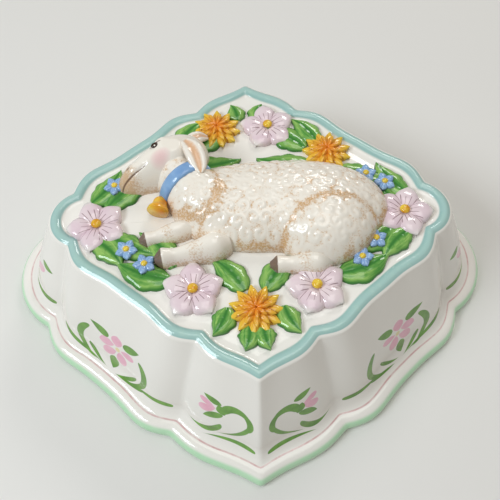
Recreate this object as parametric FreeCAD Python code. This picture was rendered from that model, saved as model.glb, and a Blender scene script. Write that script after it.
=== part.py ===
import FreeCAD, Part
import math
import os

# A cast and glazed earthenware jelly mould: a hollow bracket-shaped lozenge on a rolled foot,
# with a lamb resting in a wreath on the field of its top. It is open below, and the hollow runs
# up into the lamb. Millimetres, +Z up, origin at the centre of the foot, back towards +Y.

# Overall sizes of the body
foot_width = 240.0
foot_depth = 220.0
rim_width = 182.0
rim_depth = 158.0
field_height = 56.0
wall_thickness = 5.0
plate_thickness = 5.0

# Heights of the mouldings
foot_height = 7.6
cove_height = 9.0
shoulder_height = 3.4
bead_width = 6.0
bead_height = 1.8

# Corners of a quarter of the outline, from the back tip round to the right lobe, as shares of
# half the width and half the depth
rim_corner_shares = ((0.0, 1.0), (0.278, 0.776), (0.903, 0.179), (1.0, 0.0))
foot_corner_shares = ((0.0, 1.0), (0.342, 0.781), (0.870, 0.256), (1.0, 0.0))
# How far each corner moves inwards along X and Y when the outline is drawn in by one unit
corner_slide_shares = ((0.0, 1.19), (0.60, 0.88), (0.76, 0.74), (1.0, 0.0))
# Swell of the short tip sides and the long sides, as sine terms in shares of the side's length
rim_tip_swell_shares = (0.066, -0.026)
foot_tip_swell_shares = (0.025, -0.040)
rim_long_swell_shares = (0.069, 0.002, 0.029)
foot_long_swell_shares = (0.074, -0.012, 0.028)
# Straight runs that each side and each half lobe is drawn with
tip_runs = 3
side_runs = 10
lobe_runs = 5

# Outer profile: flare from rim outline to foot outline, with the share of the moulding's height
foot_profile_shares = ((0.965, 0.0), (0.992, 0.16), (1.0, 0.42), (0.985, 0.70), (0.945, 0.90), (0.88, 1.0))
cove_profile_shares = ((0.765, 0.06), (0.69, 0.20), (0.62, 0.48), (0.56, 1.0))
shoulder_profile_shares = ((0.06, 0.0), (0.022, 0.60), (0.0, 1.0))
# Bead on the rim: share of its width inwards and share of its height
bead_outer_shares = ((0.06, 0.26), (0.20, 0.74), (0.40, 1.0))
bead_inner_shares = ((0.66, 1.0), (0.88, 0.66), (1.0, 0.0))
# Inner profile of the foot: flare and share of the foot's height
inner_foot_shares = ((0.965, 0.0), (0.94, 0.24), (0.84, 0.40), (0.72, 0.56), (0.64, 0.80))

# The lamb. Its tables hold plan places and widths in shares of its length and heights in shares
# of its height.
lamb_length = 112.0
lamb_height = 19.0
lamb_wall = 4.5
torso_shares = (
    (-0.215, 0.045, 0.22, 0.50),
    (-0.150, 0.035, 0.34, 0.74),
    (-0.030, 0.025, 0.41, 0.87),
    (0.100, 0.025, 0.425, 0.92),
    (0.230, 0.020, 0.43, 0.91),
    (0.350, 0.015, 0.38, 0.78),
    (0.425, 0.010, 0.27, 0.52),
    (0.455, 0.005, 0.13, 0.24),
)
haunch_shares = (
    (0.170, -0.115, 0.12, 0.44),
    (0.215, -0.110, 0.25, 0.84),
    (0.285, -0.100, 0.32, 0.98),
    (0.360, -0.085, 0.28, 0.86),
    (0.410, -0.070, 0.13, 0.44),
)
neck_shares = (
    (-0.100, -0.020, 0.22, 0.66),
    (-0.180, 0.035, 0.27, 0.88),
    (-0.250, 0.110, 0.235, 0.90),
    (-0.300, 0.190, 0.19, 0.84),
    (-0.320, 0.225, 0.12, 0.58),
)
head_shares = (
    (-0.225, 0.290, 0.08, 0.44),
    (-0.255, 0.275, 0.175, 0.84),
    (-0.310, 0.250, 0.205, 1.00),
    (-0.375, 0.215, 0.180, 0.94),
    (-0.440, 0.180, 0.135, 0.76),
    (-0.490, 0.152, 0.105, 0.58),
    (-0.520, 0.136, 0.055, 0.32),
)
limb_shares = {
    "lamb_near_ear": (
        (-0.262, 0.262, 0.040, 1.02),
        (-0.235, 0.222, 0.075, 1.12),
        (-0.212, 0.172, 0.080, 1.08),
        (-0.200, 0.128, 0.055, 0.98),
        (-0.196, 0.105, 0.018, 0.92),
    ),
    "lamb_far_ear": (
        (-0.262, 0.318, 0.030, 0.34),
        (-0.240, 0.345, 0.062, 0.44),
        (-0.205, 0.368, 0.060, 0.40),
        (-0.172, 0.378, 0.020, 0.22),
    ),
    "lamb_near_foreleg": (
        (-0.090, -0.150, 0.07, 0.40),
        (-0.140, -0.165, 0.12, 0.58),
        (-0.220, -0.185, 0.095, 0.50),
        (-0.300, -0.200, 0.085, 0.46),
        (-0.355, -0.208, 0.080, 0.42),
        (-0.385, -0.212, 0.035, 0.22),
    ),
    "lamb_far_foreleg": (
        (-0.230, -0.065, 0.07, 0.34),
        (-0.290, -0.085, 0.085, 0.42),
        (-0.360, -0.105, 0.075, 0.38),
        (-0.420, -0.120, 0.070, 0.34),
        (-0.448, -0.126, 0.030, 0.18),
    ),
    "lamb_hind_foot": (
        (0.300, -0.235, 0.06, 0.30),
        (0.250, -0.245, 0.105, 0.46),
        (0.170, -0.250, 0.085, 0.40),
        (0.095, -0.252, 0.080, 0.36),
        (0.062, -0.252, 0.035, 0.20),
    ),
    "lamb_tail": (
        (0.425, 0.080, 0.05, 0.42),
        (0.462, 0.045, 0.085, 0.52),
        (0.484, -0.015, 0.090, 0.48),
        (0.480, -0.075, 0.075, 0.40),
        (0.466, -0.115, 0.030, 0.20),
    ),
}
# Band round the neck: its place and heading along the neck, and the bell that hangs from it
band_width = 6.0
band_rise = 1.3
band_place_shares = (-0.258, 0.122)
band_heading = 122.0
bell_shares = (
    (-0.362, 0.062, 0.030, 0.26),
    (-0.366, 0.048, 0.058, 0.42),
    (-0.370, 0.024, 0.068, 0.48),
    (-0.374, 0.006, 0.088, 0.54),
    (-0.376, -0.004, 0.086, 0.50),
)

# Sprigs of the wreath. Places are shares of half the rim's width and half its depth.
daisy_radius = 14.5
daisy_rise = 4.2
daisy_petals = 5
daisy_turn = 18.0
daisy_eye_radius = 3.0
daisy_eye_rise = 5.6
daisy_place_shares = ((-0.290, -0.490), (0.290, -0.490), (0.765, -0.030), (-0.765, -0.060), (0.110, 0.635))
petal_width_share = 0.80
# Sections of a petal: reach from the middle, width and height, each as a share of the full size
petal_shares = (
    (0.10, 0.30, 0.72),
    (0.32, 0.70, 0.90),
    (0.62, 1.00, 1.00),
    (0.86, 0.90, 0.84),
    (0.98, 0.46, 0.40),
)

marigold_radius = 12.5
marigold_rise = 3.4
marigold_scallops = 10
marigold_place_shares = ((0.0, -0.620), (0.415, 0.425), (-0.165, 0.625))
marigold_tier_shares = ((1.0, 1.0), (0.70, 1.6), (0.38, 2.15))
marigold_scallop_share = 0.14
marigold_top_share = 0.84

forget_radius = 5.4
forget_rise = 4.2
forget_petals = 5
forget_scallop_share = 0.30
forget_top_share = 0.62
forget_pip_share = 0.26
# Points of one scallop, as shares of its pitch from one notch to the next
scallop_shares = (0.0, 0.28, 0.72)
# Rings of a small dome: share of its radius and share of its rise
dome_shares = ((1.0, 0.0), (0.84, 0.66), (0.42, 1.0))
dome_sides = 8
forget_place_shares = (
    (0.520, -0.330), (0.600, -0.215), (-0.520, -0.330), (-0.610, -0.235),
    (0.600, 0.235), (0.690, 0.170), (-0.690, 0.200),
)

# Leaves: each row holds the place of the root, the heading in degrees, the length in shares of the
# leaf length and the hand of the bend, 1 to the left and -1 to the right. A row stands on the right
# side and again, mirrored, on the left.
leaf_length = 27.0
leaf_width = 11.5
leaf_rise = 3.4
leaf_bend = 34.0
# Sections of a leaf: share of its length, width and height
leaf_shares = (
    (0.00, 0.22, 0.55),
    (0.22, 0.78, 0.95),
    (0.48, 1.00, 1.00),
    (0.76, 0.66, 0.80),
    (0.98, 0.06, 0.25),
)
leaf_row_shares = (
    (0.033, -0.710, -78.0, 0.40, 1),
    (0.130, -0.600, -62.0, 0.52, 1),
    (0.050, -0.500, 48.0, 0.80, -1),
    (0.400, -0.420, 22.0, 0.95, 1),
    (0.380, -0.340, 48.0, 0.90, -1),
    (0.700, -0.120, 208.0, 0.90, -1),
    (0.780, -0.150, 226.0, 0.75, 1),
    (0.720, 0.060, 142.0, 1.00, 1),
    (0.800, 0.100, 124.0, 0.82, -1),
    (0.460, 0.300, -12.0, 0.85, 1),
    (0.330, 0.340, 172.0, 1.00, -1),
    (0.300, 0.460, 150.0, 0.95, 1),
    (0.370, 0.500, 128.0, 0.70, 1),
    (0.050, 0.700, 70.0, 0.38, -1),
)

# How far a cutter runs past what it cuts, the points taken on a section and round the outline, the
# lean under which four points count as flat, and the share of its volume under which a cut-off scrap
# is dropped
overrun = 2.0
crown_samples = 9
petal_samples = 5
flat_share = 0.000001
outline_samples = 240
scrap_share = 0.06


def vector(x, y, z):
    return FreeCAD.Vector(x, y, z)


def mix(first, second, share):
    return first + (second - first) * share


def outline_corners(flare, inset):
    """Corners of a quarter: the rim's, carried towards the foot's by the flare, then drawn in."""
    corners = []
    for rim, foot, slide in zip(rim_corner_shares, foot_corner_shares, corner_slide_shares):
        x = mix(rim[0] * rim_width / 2, foot[0] * foot_width / 2, flare) - inset * slide[0]
        y = mix(rim[1] * rim_depth / 2, foot[1] * foot_depth / 2, flare) - inset * slide[1]
        corners.append((x, y))
    return corners


def swollen_side(start, end, swell_shares, runs):
    """Points of a side without its end: its chord, pushed outward by sines that vanish at both ends."""
    run_x = end[0] - start[0]
    run_y = end[1] - start[1]
    points = []
    for step in range(runs):
        share = step / runs
        push = 0
        for order, term in enumerate(swell_shares, start=1):
            push += term * math.sin(order * math.pi * share)
        points.append((start[0] + run_x * share - run_y * push, start[1] + run_y * share + run_x * push))
    return points


def half_lobe(notch, lobe):
    """Points of the arc from a lobe's notch to its middle, on the circle through both notches."""
    reach = notch[0] - lobe[0]
    centre = lobe[0] + (reach * reach + notch[1] * notch[1]) / (2 * reach)
    radius = lobe[0] - centre
    opening = math.atan2(notch[1], notch[0] - centre)
    turns = [opening * (1 - step / lobe_runs) for step in range(lobe_runs + 1)]
    return [(centre + radius * math.cos(turn), radius * math.sin(turn)) for turn in turns]


def outline_wire(flare, inset, height):
    """Closed bracket outline at one height, from a quarter and its three mirror images."""
    tip, tip_notch, lobe_notch, lobe = outline_corners(flare, inset)
    tip_swell = [mix(a, b, flare) for a, b in zip(rim_tip_swell_shares, foot_tip_swell_shares)]
    long_swell = [mix(a, b, flare) for a, b in zip(rim_long_swell_shares, foot_long_swell_shares)]
    quarter = swollen_side(tip, tip_notch, tip_swell, tip_runs)
    quarter += swollen_side(tip_notch, lobe_notch, long_swell, side_runs)
    quarter += half_lobe(lobe_notch, lobe)
    points = []
    for side_x, side_y in ((1, 1), (1, -1), (-1, -1), (-1, 1)):
        path = [vector(side_x * x, side_y * y, height) for x, y in quarter]
        if side_x * side_y < 0:
            path.reverse()
        points += path[:-1]
    return Part.makePolygon(points + points[:1])


def flat_face(points):
    return Part.Face(Part.makePolygon(points + points[:1]))


def faceted(rings):
    """Solid with flat facets through rings of as many points each; a facet that is not flat is halved."""
    faces = [flat_face(rings[0]), flat_face(rings[-1])]
    count = len(rings[0])
    for lower, upper in zip(rings, rings[1:]):
        for index in range(count):
            following = (index + 1) % count
            a, b, c, d = lower[index], lower[following], upper[following], upper[index]
            normal = (b - a).cross(d - a)
            if abs(normal.dot(c - a)) < flat_share * normal.Length * (c - a).Length:
                faces.append(flat_face([a, b, c, d]))
            else:
                faces += [flat_face([a, b, c]), flat_face([a, c, d])]
    solid = Part.makeSolid(Part.makeShell(faces))
    if solid.Volume < 0:
        solid.reverse()
    return solid


def outline_stack(levels):
    """Solid through the outlines of a list of (flare, inset, height) levels."""
    wires = [outline_wire(flare, inset, height) for flare, inset, height in levels]
    return Part.makeLoft(wires, True, True)


def wall_flare(height):
    """Flare of the straight drafted wall at a height between the cove and the shoulder."""
    low = foot_height + cove_height
    high = field_height - shoulder_height
    share = (height - low) / (high - low)
    return mix(cove_profile_shares[-1][0], shoulder_profile_shares[0][0], share)


def bead_levels(shares):
    """Levels of the bead round the field from its inset and rise shares."""
    return [(0, inset * bead_width, field_height + rise * bead_height) for inset, rise in shares]


def outer_levels():
    levels = [(flare, 0, share * foot_height) for flare, share in foot_profile_shares]
    levels += [(flare, 0, foot_height + share * cove_height) for flare, share in cove_profile_shares]
    shoulder = field_height - shoulder_height
    levels += [(flare, 0, shoulder + share * shoulder_height) for flare, share in shoulder_profile_shares]
    levels += bead_levels(bead_outer_shares)
    return levels


def cavity_levels():
    levels = [(inner_foot_shares[0][0], wall_thickness, -overrun)]
    levels += [(flare, wall_thickness, share * foot_height) for flare, share in inner_foot_shares]
    for height in (foot_height + cove_height, field_height - plate_thickness):
        levels.append((wall_flare(height), wall_thickness, height))
    return levels


def field_pocket_levels():
    levels = bead_levels(bead_inner_shares)
    flare, inset, height = levels[0]
    return [(flare, inset, height + overrun)] + levels


def crown_ring(place, heading, width, height, sole, samples):
    """Section across a rounded form: a half ellipse standing on the line where it meets the field."""
    across = vector(-math.sin(heading), math.cos(heading), 0)
    points = []
    for step in range(samples):
        turn = math.pi * step / (samples - 1)
        rise = vector(0, 0, height * math.sin(turn))
        points.append(place + across * (width / 2 * math.cos(turn)) + rise)
    if sole:
        drop = vector(0, 0, -sole)
        points += [points[-1] + drop, points[0] + drop]
    return points


def ridge_ring(place, heading, width, height):
    """Section across a leaf: a low triangle with the midrib at its top."""
    across = vector(-math.sin(heading), math.cos(heading), 0)
    return [place + across * (width / 2), place + vector(0, 0, height), place - across * (width / 2)]


def lamb_form(rows, thinner, sole):
    """Solid swelling through crown sections along a table of (x, y, width, height) shares."""
    places = [vector(x * lamb_length, y * lamb_length, field_height) for x, y, width, height in rows]
    rings = []
    for index, row in enumerate(rows):
        before = places[max(index - 1, 0)]
        after = places[min(index + 1, len(places) - 1)]
        heading = math.atan2(after.y - before.y, after.x - before.x)
        width = row[2] * lamb_length - 2 * thinner
        height = row[3] * lamb_height - thinner
        rings.append(crown_ring(places[index], heading, width, height, sole, crown_samples))
    return faceted(rings)


def moved(shape, place):
    copy = shape.copy()
    copy.translate(place)
    return copy


def main_solid(shape):
    return max(shape.Solids, key=lambda solid: solid.Volume)


def round_ring(radius, height, shares, count, turn):
    """Ring about the upright axis; shares give each point's place in its pitch and its reach."""
    pitch = 2 * math.pi / count
    points = []
    for step in range(count):
        for share, reach in shares:
            angle = turn + (step + share) * pitch
            points.append(vector(radius * reach * math.cos(angle), radius * reach * math.sin(angle), height))
    return points


def dome(radius, rise):
    """Low button of rings that draw in as they rise."""
    return faceted(
        [round_ring(reach * radius, lift * rise, ((0, 1),), dome_sides, 0) for reach, lift in dome_shares]
    )


def scalloped_tier(radius, rise, top_share, count, depth_share, turn):
    """Low scalloped frustum: the notches between its scallops lie deeper by the depth share."""
    shares = [(share, 1 if share else 1 - depth_share) for share in scallop_shares]
    low = round_ring(radius, 0, shares, count, turn)
    high = round_ring(radius * top_share, rise, shares, count, turn)
    return faceted([low, high])


def field_place(shares):
    return vector(shares[0] * rim_width / 2, shares[1] * rim_depth / 2, field_height)


def daisy():
    """Open blossom: petals lofted outward from the middle, left open where the eye sits."""
    petals = []
    for step in range(daisy_petals):
        heading = math.radians(daisy_turn) + 2 * math.pi * step / daisy_petals
        along = vector(math.cos(heading), math.sin(heading), 0)
        rings = []
        for reach, width, height in petal_shares:
            point = along * (reach * daisy_radius)
            breadth = width * petal_width_share * daisy_radius
            rings.append(crown_ring(point, heading, breadth, height * daisy_rise, 0, petal_samples))
        petals.append(faceted(rings))
    return main_solid(petals[0].fuse(petals[1:]))


def marigold():
    """Full blossom: scalloped tiers that step up and in, each turned half a petal from the last."""
    tiers = []
    for index, (reach, rise) in enumerate(marigold_tier_shares):
        turn = index * math.pi / marigold_scallops
        size = (reach * marigold_radius, rise * marigold_rise, marigold_top_share)
        tiers.append(scalloped_tier(*size, marigold_scallops, marigold_scallop_share, turn))
    return main_solid(tiers[0].fuse(tiers[1:]))


def forget_me_not():
    """Small blossom: one scalloped tier with a pip at its middle."""
    size = (forget_radius, forget_rise, forget_top_share)
    ring = scalloped_tier(*size, forget_petals, forget_scallop_share, 0)
    pip = dome(forget_pip_share * forget_radius, (1 + forget_pip_share) * forget_rise)
    return main_solid(ring.fuse(pip))


def leaf(root, heading, length, hand):
    """Bent leaf: ridge sections along an arc, widest near its middle and drawn to a point."""
    bend = math.radians(leaf_bend) * hand
    radius = length / bend
    start = heading - bend / 2
    rings = []
    for reach, width, height in leaf_shares:
        turned = start + bend * reach
        ahead = math.sin(turned) - math.sin(start)
        aside = math.cos(start) - math.cos(turned)
        place = root + vector(ahead, aside, 0) * radius
        rings.append(ridge_ring(place, turned, width * leaf_width, height * leaf_rise))
    return faceted(rings)


def trimmed(solid, laid):
    """What is left of a solid beside the ones already laid that it runs into, without scraps."""
    near = [other for other in laid if other.BoundBox.intersect(solid.BoundBox)]
    if not near:
        return [solid]
    return [part for part in solid.cut(near).Solids if part.Volume > scrap_share * solid.Volume]


def lamb_collar():
    """Band round the neck: the neck's form, thickened, between two planes across it."""
    slab = Part.makeBox(band_width, lamb_length, 2 * lamb_height)
    slab.translate(vector(-band_width / 2, -lamb_length / 2, 0))
    slab.rotate(vector(0, 0, 0), vector(0, 0, 1), band_heading)
    place_x, place_y = (share * lamb_length for share in band_place_shares)
    slab.translate(vector(place_x, place_y, field_height))
    return main_solid(lamb_form(neck_shares, -band_rise, 0).common(slab))


def sprigs():
    """Every blossom and leaf of the wreath, uncut, as (node, solid) rows with the upper ones first."""
    rows = []
    blossoms = (
        ("daisy_eyes", dome(daisy_eye_radius, daisy_eye_rise), daisy_place_shares),
        ("daisies", daisy(), daisy_place_shares),
        ("marigolds", marigold(), marigold_place_shares),
        ("forget_me_nots", forget_me_not(), forget_place_shares),
    )
    for name, blossom, place_shares in blossoms:
        rows += [(name, moved(blossom, field_place(shares))) for shares in place_shares]
    for side, word in ((1, "right"), (-1, "left")):
        for x, y, heading, length, hand in leaf_row_shares:
            turned = math.radians(heading if side > 0 else 180 - heading)
            name = "leaves_" + ("front" if y < 0 else "back") + "_" + word
            rows.append((name, leaf(field_place((side * x, y)), turned, length * leaf_length, hand * side)))
    return rows


def within_field(solid, prism, reaches):
    """The solid, cut back to the field where it runs over the bead."""
    turn = 2 * math.pi / len(reaches)
    for point in solid.tessellate(leaf_rise)[0]:
        nearest = round(math.atan2(point.y, point.x) / turn) % len(reaches)
        if math.hypot(point.x, point.y) > reaches[nearest]:
            return main_solid(solid.common(prism))
    return solid


def field_reaches(rim):
    """Distance from the centre to the field's edge in evenly spaced directions."""
    corners = rim.discretize(outline_samples)
    directions = [2 * math.pi * step / outline_samples for step in range(outline_samples)]

    def reach(direction):
        ahead = vector(math.cos(direction), math.sin(direction), 0)
        nearest = max(corners, key=lambda corner: ahead.dot(corner) / math.hypot(corner.x, corner.y))
        return math.hypot(nearest.x, nearest.y)

    return [reach(direction) for direction in directions]


def build_relief(hollow):
    """Nodes of the relief: its forms are laid one after another, each cut where an earlier one lies."""
    head = lamb_form(head_shares, 0, 0)
    torso = lamb_form(torso_shares, 0, 0)
    haunch = lamb_form(haunch_shares, 0, 0)
    neck = lamb_form(neck_shares, 0, 0)
    body = torso.fuse([haunch, neck]).cut([hollow, head])
    nodes = {"lamb_head": [head], "lamb_body": [main_solid(body)]}
    laid = [head, torso, haunch, neck]
    rim = outline_wire(0, bead_width, field_height)
    prism = Part.Face(rim).extrude(vector(0, 0, 2 * lamb_height))
    reaches = field_reaches(rim)
    rows = [(name, lamb_form(shares, 0, 0)) for name, shares in limb_shares.items()]
    rows += [("neck_band", lamb_collar()), ("neck_bell", lamb_form(bell_shares, 0, 0))]
    rows += [(name, within_field(solid, prism, reaches)) for name, solid in sprigs()]
    for name, solid in rows:
        parts = trimmed(solid, laid)
        nodes.setdefault(name, []).extend(parts)
        laid += parts
    return nodes


def main():
    os.makedirs("parts", exist_ok=True)
    hollow = lamb_form(torso_shares[1:-2], lamb_wall, plate_thickness + overrun)
    shell = outline_stack(outer_levels())
    shell = shell.cut([outline_stack(cavity_levels()), outline_stack(field_pocket_levels()), hollow])
    nodes = {"mould_shell": [main_solid(shell)]}
    nodes.update(build_relief(hollow))
    for name, solids in nodes.items():
        Part.makeCompound(solids).exportStep("parts/" + name + ".step")


main()
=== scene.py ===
"""Looks for a glazed ceramic jelly mould with a lamb in a wreath in relief on its top.

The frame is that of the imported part: the foot stands on z = 0, +X runs through the two round lobes
and +Y points to the back. Each new piece is a grid of points worked out with numpy in millimetres,
put into its mesh in metres, and stands for the solids of the same name.
"""

import math

import bpy
import numpy as np
from bpy.props import FloatProperty, FloatVectorProperty, IntProperty, PointerProperty
from mathutils import Matrix, Vector


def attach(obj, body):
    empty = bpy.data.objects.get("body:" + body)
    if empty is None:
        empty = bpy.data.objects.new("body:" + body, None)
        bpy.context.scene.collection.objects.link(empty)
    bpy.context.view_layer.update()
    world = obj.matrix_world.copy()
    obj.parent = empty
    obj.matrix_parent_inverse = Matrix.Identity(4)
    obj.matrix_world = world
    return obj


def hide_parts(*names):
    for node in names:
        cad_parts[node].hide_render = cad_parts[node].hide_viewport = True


bl_info = {
    "name": "Jelly Mould",
    "version": (1, 0, 0),
    "blender": (4, 5, 0),
    "location": "3D View > Sidebar > Jelly Mould",
    "description": "Glazed ceramic jelly mould with painted sides and a lamb in a wreath in relief",
    "category": "Add Mesh",
}

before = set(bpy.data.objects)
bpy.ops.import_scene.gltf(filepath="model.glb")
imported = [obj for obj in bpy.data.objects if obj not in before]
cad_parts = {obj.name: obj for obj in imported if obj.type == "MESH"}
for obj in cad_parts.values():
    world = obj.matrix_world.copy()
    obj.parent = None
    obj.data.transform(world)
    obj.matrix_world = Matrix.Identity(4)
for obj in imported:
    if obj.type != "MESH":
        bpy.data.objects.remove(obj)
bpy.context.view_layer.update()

MM = 0.001
UP = np.array((0, 0, 1))

# Outline of the body, a quarter from the back tip to the right lobe
RIM_CORNERS = np.array(((0, 79), (25.3, 61.3), (82.17, 14.14), (91.5, 0)), float)
FOOT_CORNERS = np.array(((0, 110), (41.04, 85.91), (103.1, 29.35), (120, 0)), float)
CORNER_SLIDES = np.array(((0, 1.19), (0.60, 0.88), (0.76, 0.74), (1, 0)), float)
# Each side bows by these waves, in shares of its length, first at the rim and then at the foot
WAVES = (1, 2, 3, 5)
TIP_SWELLS = np.array(((0.057, -0.026, 0, 0), (0.042, -0.021, 0, 0)))
LONG_SWELLS = np.array(((0.071, -0.002, 0.030, 0.0105), (0.080, -0.003, 0.029, 0.0060)))
TIP_RUNS, LONG_RUNS, LOBE_RUNS = 34, 74, 26
OUTLINE_BLUR = 0.8

# Section through the body: flare from rim to foot outline, inset, height and, on the top and the
# ceiling, the share of the way in to the edge of the lamb's hollow, with the runs up to the next key
SECTION = np.array((
    (0, 12, 56, 1.0, 8),
    (0, 12, 56, 0.0, 5),
    (0, 6.5, 56.02, 0, 3),
    (0, 5.7, 56.24, 0, 3),
    (0, 4.9, 56.82, 0, 3),
    (0, 3.9, 57.42, 0, 4),
    (0, 2.8, 57.72, 0, 4),
    (0, 1.7, 57.60, 0, 3),
    (0, 0.8, 57.06, 0, 3),
    (0.004, 0.2, 56.62, 0, 3),
    (0.024, 0, 56.06, 0, 3),
    (0.042, 0, 54.9, 0, 3),
    (0.066, 0, 53.2, 0, 20),
    (0.556, 0, 17.0, 0, 4),
    (0.585, 0, 13.6, 0, 4),
    (0.632, 0, 11.0, 0, 4),
    (0.690, 0, 9.25, 0, 4),
    (0.745, 0, 8.30, 0, 4),
    (0.790, 0, 7.98, 0, 4),
    (0.845, 0, 7.90, 0, 4),
    (0.905, 0, 7.36, 0, 4),
    (0.955, 0, 6.30, 0, 4),
    (0.987, 0, 4.80, 0, 4),
    (0.998, 0, 3.10, 0, 4),
    (0.991, 0, 1.30, 0, 3),
    (0.972, 0.3, 0.15, 0, 2),
    (0.960, 1.2, 0.0, 0, 3),
    (0.965, 4.2, 0.0, 0, 2),
    (0.960, 5.2, 0.5, 0, 4),
    (0.92, 5, 2.2, 0, 4),
    (0.82, 5, 3.3, 0, 4),
    (0.71, 5, 4.6, 0, 4),
    (0.62, 5, 8.2, 0, 3),
    (0.56, 5, 16.6, 0, 10),
    (0.11, 5, 49.0, 0, 3),
    (0.07, 6.6, 50.8, 0, 3),
    (0.05, 10, 51, 0, 6),
    (0.05, 10, 51, 0.97, 2),
    (0.05, 10, 51.8, 1.0, 4),
))
OUTER_KEYS = 25
# What a whole flare and a whole share of the way in weigh against a millimetre of inset or height
SECTION_SCALE = np.array((30.0, 1, 1, 20))
# Where the bands are painted: flare of the pink line and of the foot's outer half, inset of the inner
# edge of the aqua bead, and height of the lower edge of the green band
PINK_LINE_FLARE, FOOT_FLARE, BEAD_INSET, MINT_HEIGHT = 0.745, 0.9, 5.25, 0.3

# The field's height, and how far the lamb's sole lies over it
FIELD, SOLE = 56.0, -0.2
# The lamb: plan places and widths in shares of its length, heights in shares of its height
LAMB_LENGTH, LAMB_HEIGHT, LAMB_WALL = 112.0, 19.0, 4.5
LAMB_SCALE = (LAMB_LENGTH, LAMB_LENGTH, LAMB_LENGTH / 2, LAMB_HEIGHT)
LAMB_CENTRE = (5.0, 3.0)
HOLLOW_COVER = 1.2
HOLLOW_LIMIT, BODY_LIMIT, HEAD_LIMIT = 60.0, 75.0, 40.0
LEAST_BALL, BODY_SHARPNESS, HEAD_SHARPNESS = 0.2, 7, 8
TORSO = (
    (-0.215, 0.045, 0.22, 0.50), (-0.150, 0.035, 0.34, 0.74), (-0.030, 0.025, 0.41, 0.87),
    (0.100, 0.025, 0.425, 0.92), (0.230, 0.020, 0.43, 0.91), (0.350, 0.015, 0.38, 0.78),
    (0.425, 0.010, 0.27, 0.52), (0.455, 0.005, 0.13, 0.24),
)
HAUNCH = (
    (0.170, -0.115, 0.12, 0.44), (0.215, -0.110, 0.25, 0.84), (0.285, -0.100, 0.32, 0.98),
    (0.360, -0.085, 0.28, 0.86), (0.410, -0.070, 0.13, 0.44),
)
NECK = (
    (-0.100, -0.020, 0.22, 0.66), (-0.180, 0.035, 0.27, 0.88), (-0.250, 0.110, 0.235, 0.90),
    (-0.300, 0.190, 0.19, 0.84), (-0.320, 0.225, 0.12, 0.58),
)
HEAD = (
    (-0.225, 0.290, 0.08, 0.44), (-0.255, 0.275, 0.175, 0.84), (-0.310, 0.250, 0.205, 1.00),
    (-0.375, 0.215, 0.180, 0.94), (-0.440, 0.180, 0.135, 0.76), (-0.490, 0.152, 0.105, 0.58),
    (-0.520, 0.136, 0.055, 0.32),
)
# Legs and tail, with the share of the way along at which the hoof starts
LIMBS = {
    "lamb_near_foreleg": (0.80, (
        (-0.090, -0.150, 0.07, 0.40), (-0.140, -0.165, 0.12, 0.58), (-0.220, -0.185, 0.095, 0.50),
        (-0.300, -0.200, 0.085, 0.46), (-0.355, -0.208, 0.080, 0.42), (-0.385, -0.212, 0.035, 0.22),
    )),
    "lamb_far_foreleg": (0.76, (
        (-0.230, -0.065, 0.07, 0.34), (-0.290, -0.085, 0.085, 0.42), (-0.360, -0.105, 0.075, 0.38),
        (-0.420, -0.120, 0.070, 0.34), (-0.448, -0.126, 0.030, 0.18),
    )),
    "lamb_hind_foot": (0.78, (
        (0.300, -0.235, 0.06, 0.30), (0.250, -0.245, 0.105, 0.46), (0.170, -0.250, 0.085, 0.40),
        (0.095, -0.252, 0.080, 0.36), (0.062, -0.252, 0.035, 0.20),
    )),
    "lamb_tail": (2.0, (
        (0.425, 0.080, 0.05, 0.42), (0.462, 0.045, 0.085, 0.52), (0.484, -0.015, 0.090, 0.48),
        (0.480, -0.075, 0.075, 0.40), (0.466, -0.115, 0.030, 0.20),
    )),
}
# Ears lie over the head: the height is that of their top
EAR_THICKNESS = 3.6
EARS = {
    "lamb_near_ear": (
        (-0.262, 0.262, 0.040, 1.00), (-0.235, 0.222, 0.075, 1.10), (-0.212, 0.172, 0.080, 1.06),
        (-0.200, 0.128, 0.055, 0.97), (-0.196, 0.105, 0.018, 0.92),
    ),
    "lamb_far_ear": (
        (-0.262, 0.318, 0.030, 0.42), (-0.240, 0.345, 0.062, 0.46), (-0.205, 0.368, 0.060, 0.42),
        (-0.172, 0.378, 0.020, 0.26),
    ),
}
# Places on the head in millimetres ahead along the muzzle and aside towards the forehead
HEAD_ROOT = np.array((-0.275, 0.268)) * LAMB_LENGTH
HEAD_AXIS = np.subtract(HEAD[-1][:2], HEAD[1][:2])
HEAD_AXIS = HEAD_AXIS / np.linalg.norm(HEAD_AXIS)
HEAD_SIDE = np.array((HEAD_AXIS[1], -HEAD_AXIS[0]))
HEAD_SWELLS = (((5.0, -3.5), 8.6, 17.6), ((8.0, 4.2), 6.0, 17.0), ((24.5, 0.4), 5.6, 12.2))
EYE_PLACE, EYE_HALVES, EYE_LEVEL = (11.6, 3.4), (2.1, 1.55), 17.2
MOUTH_ASIDE, NOSTRIL_PLACE = -2.6, (27.0, 1.6)
# Neck band: place, heading in degrees, half width and height of the neck below it
BAND_PLACE, BAND_HEADING = (-0.258, 0.122), 122.0
BAND_HALF, BAND_TALL = 0.235 * LAMB_LENGTH / 2 + 0.1, 0.90 * LAMB_HEIGHT + 0.1
BAND_WIDTH, BAND_RISE = 6.0, 1.2
# Bell from its top to its mouth: places and widths in shares of the lamb's length
BELL = (
    (-0.362, 0.062, 0.030), (-0.366, 0.048, 0.052), (-0.370, 0.024, 0.066), (-0.374, 0.006, 0.086),
    (-0.376, -0.004, 0.090),
)
BELL_LEVEL = 5.0

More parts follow.
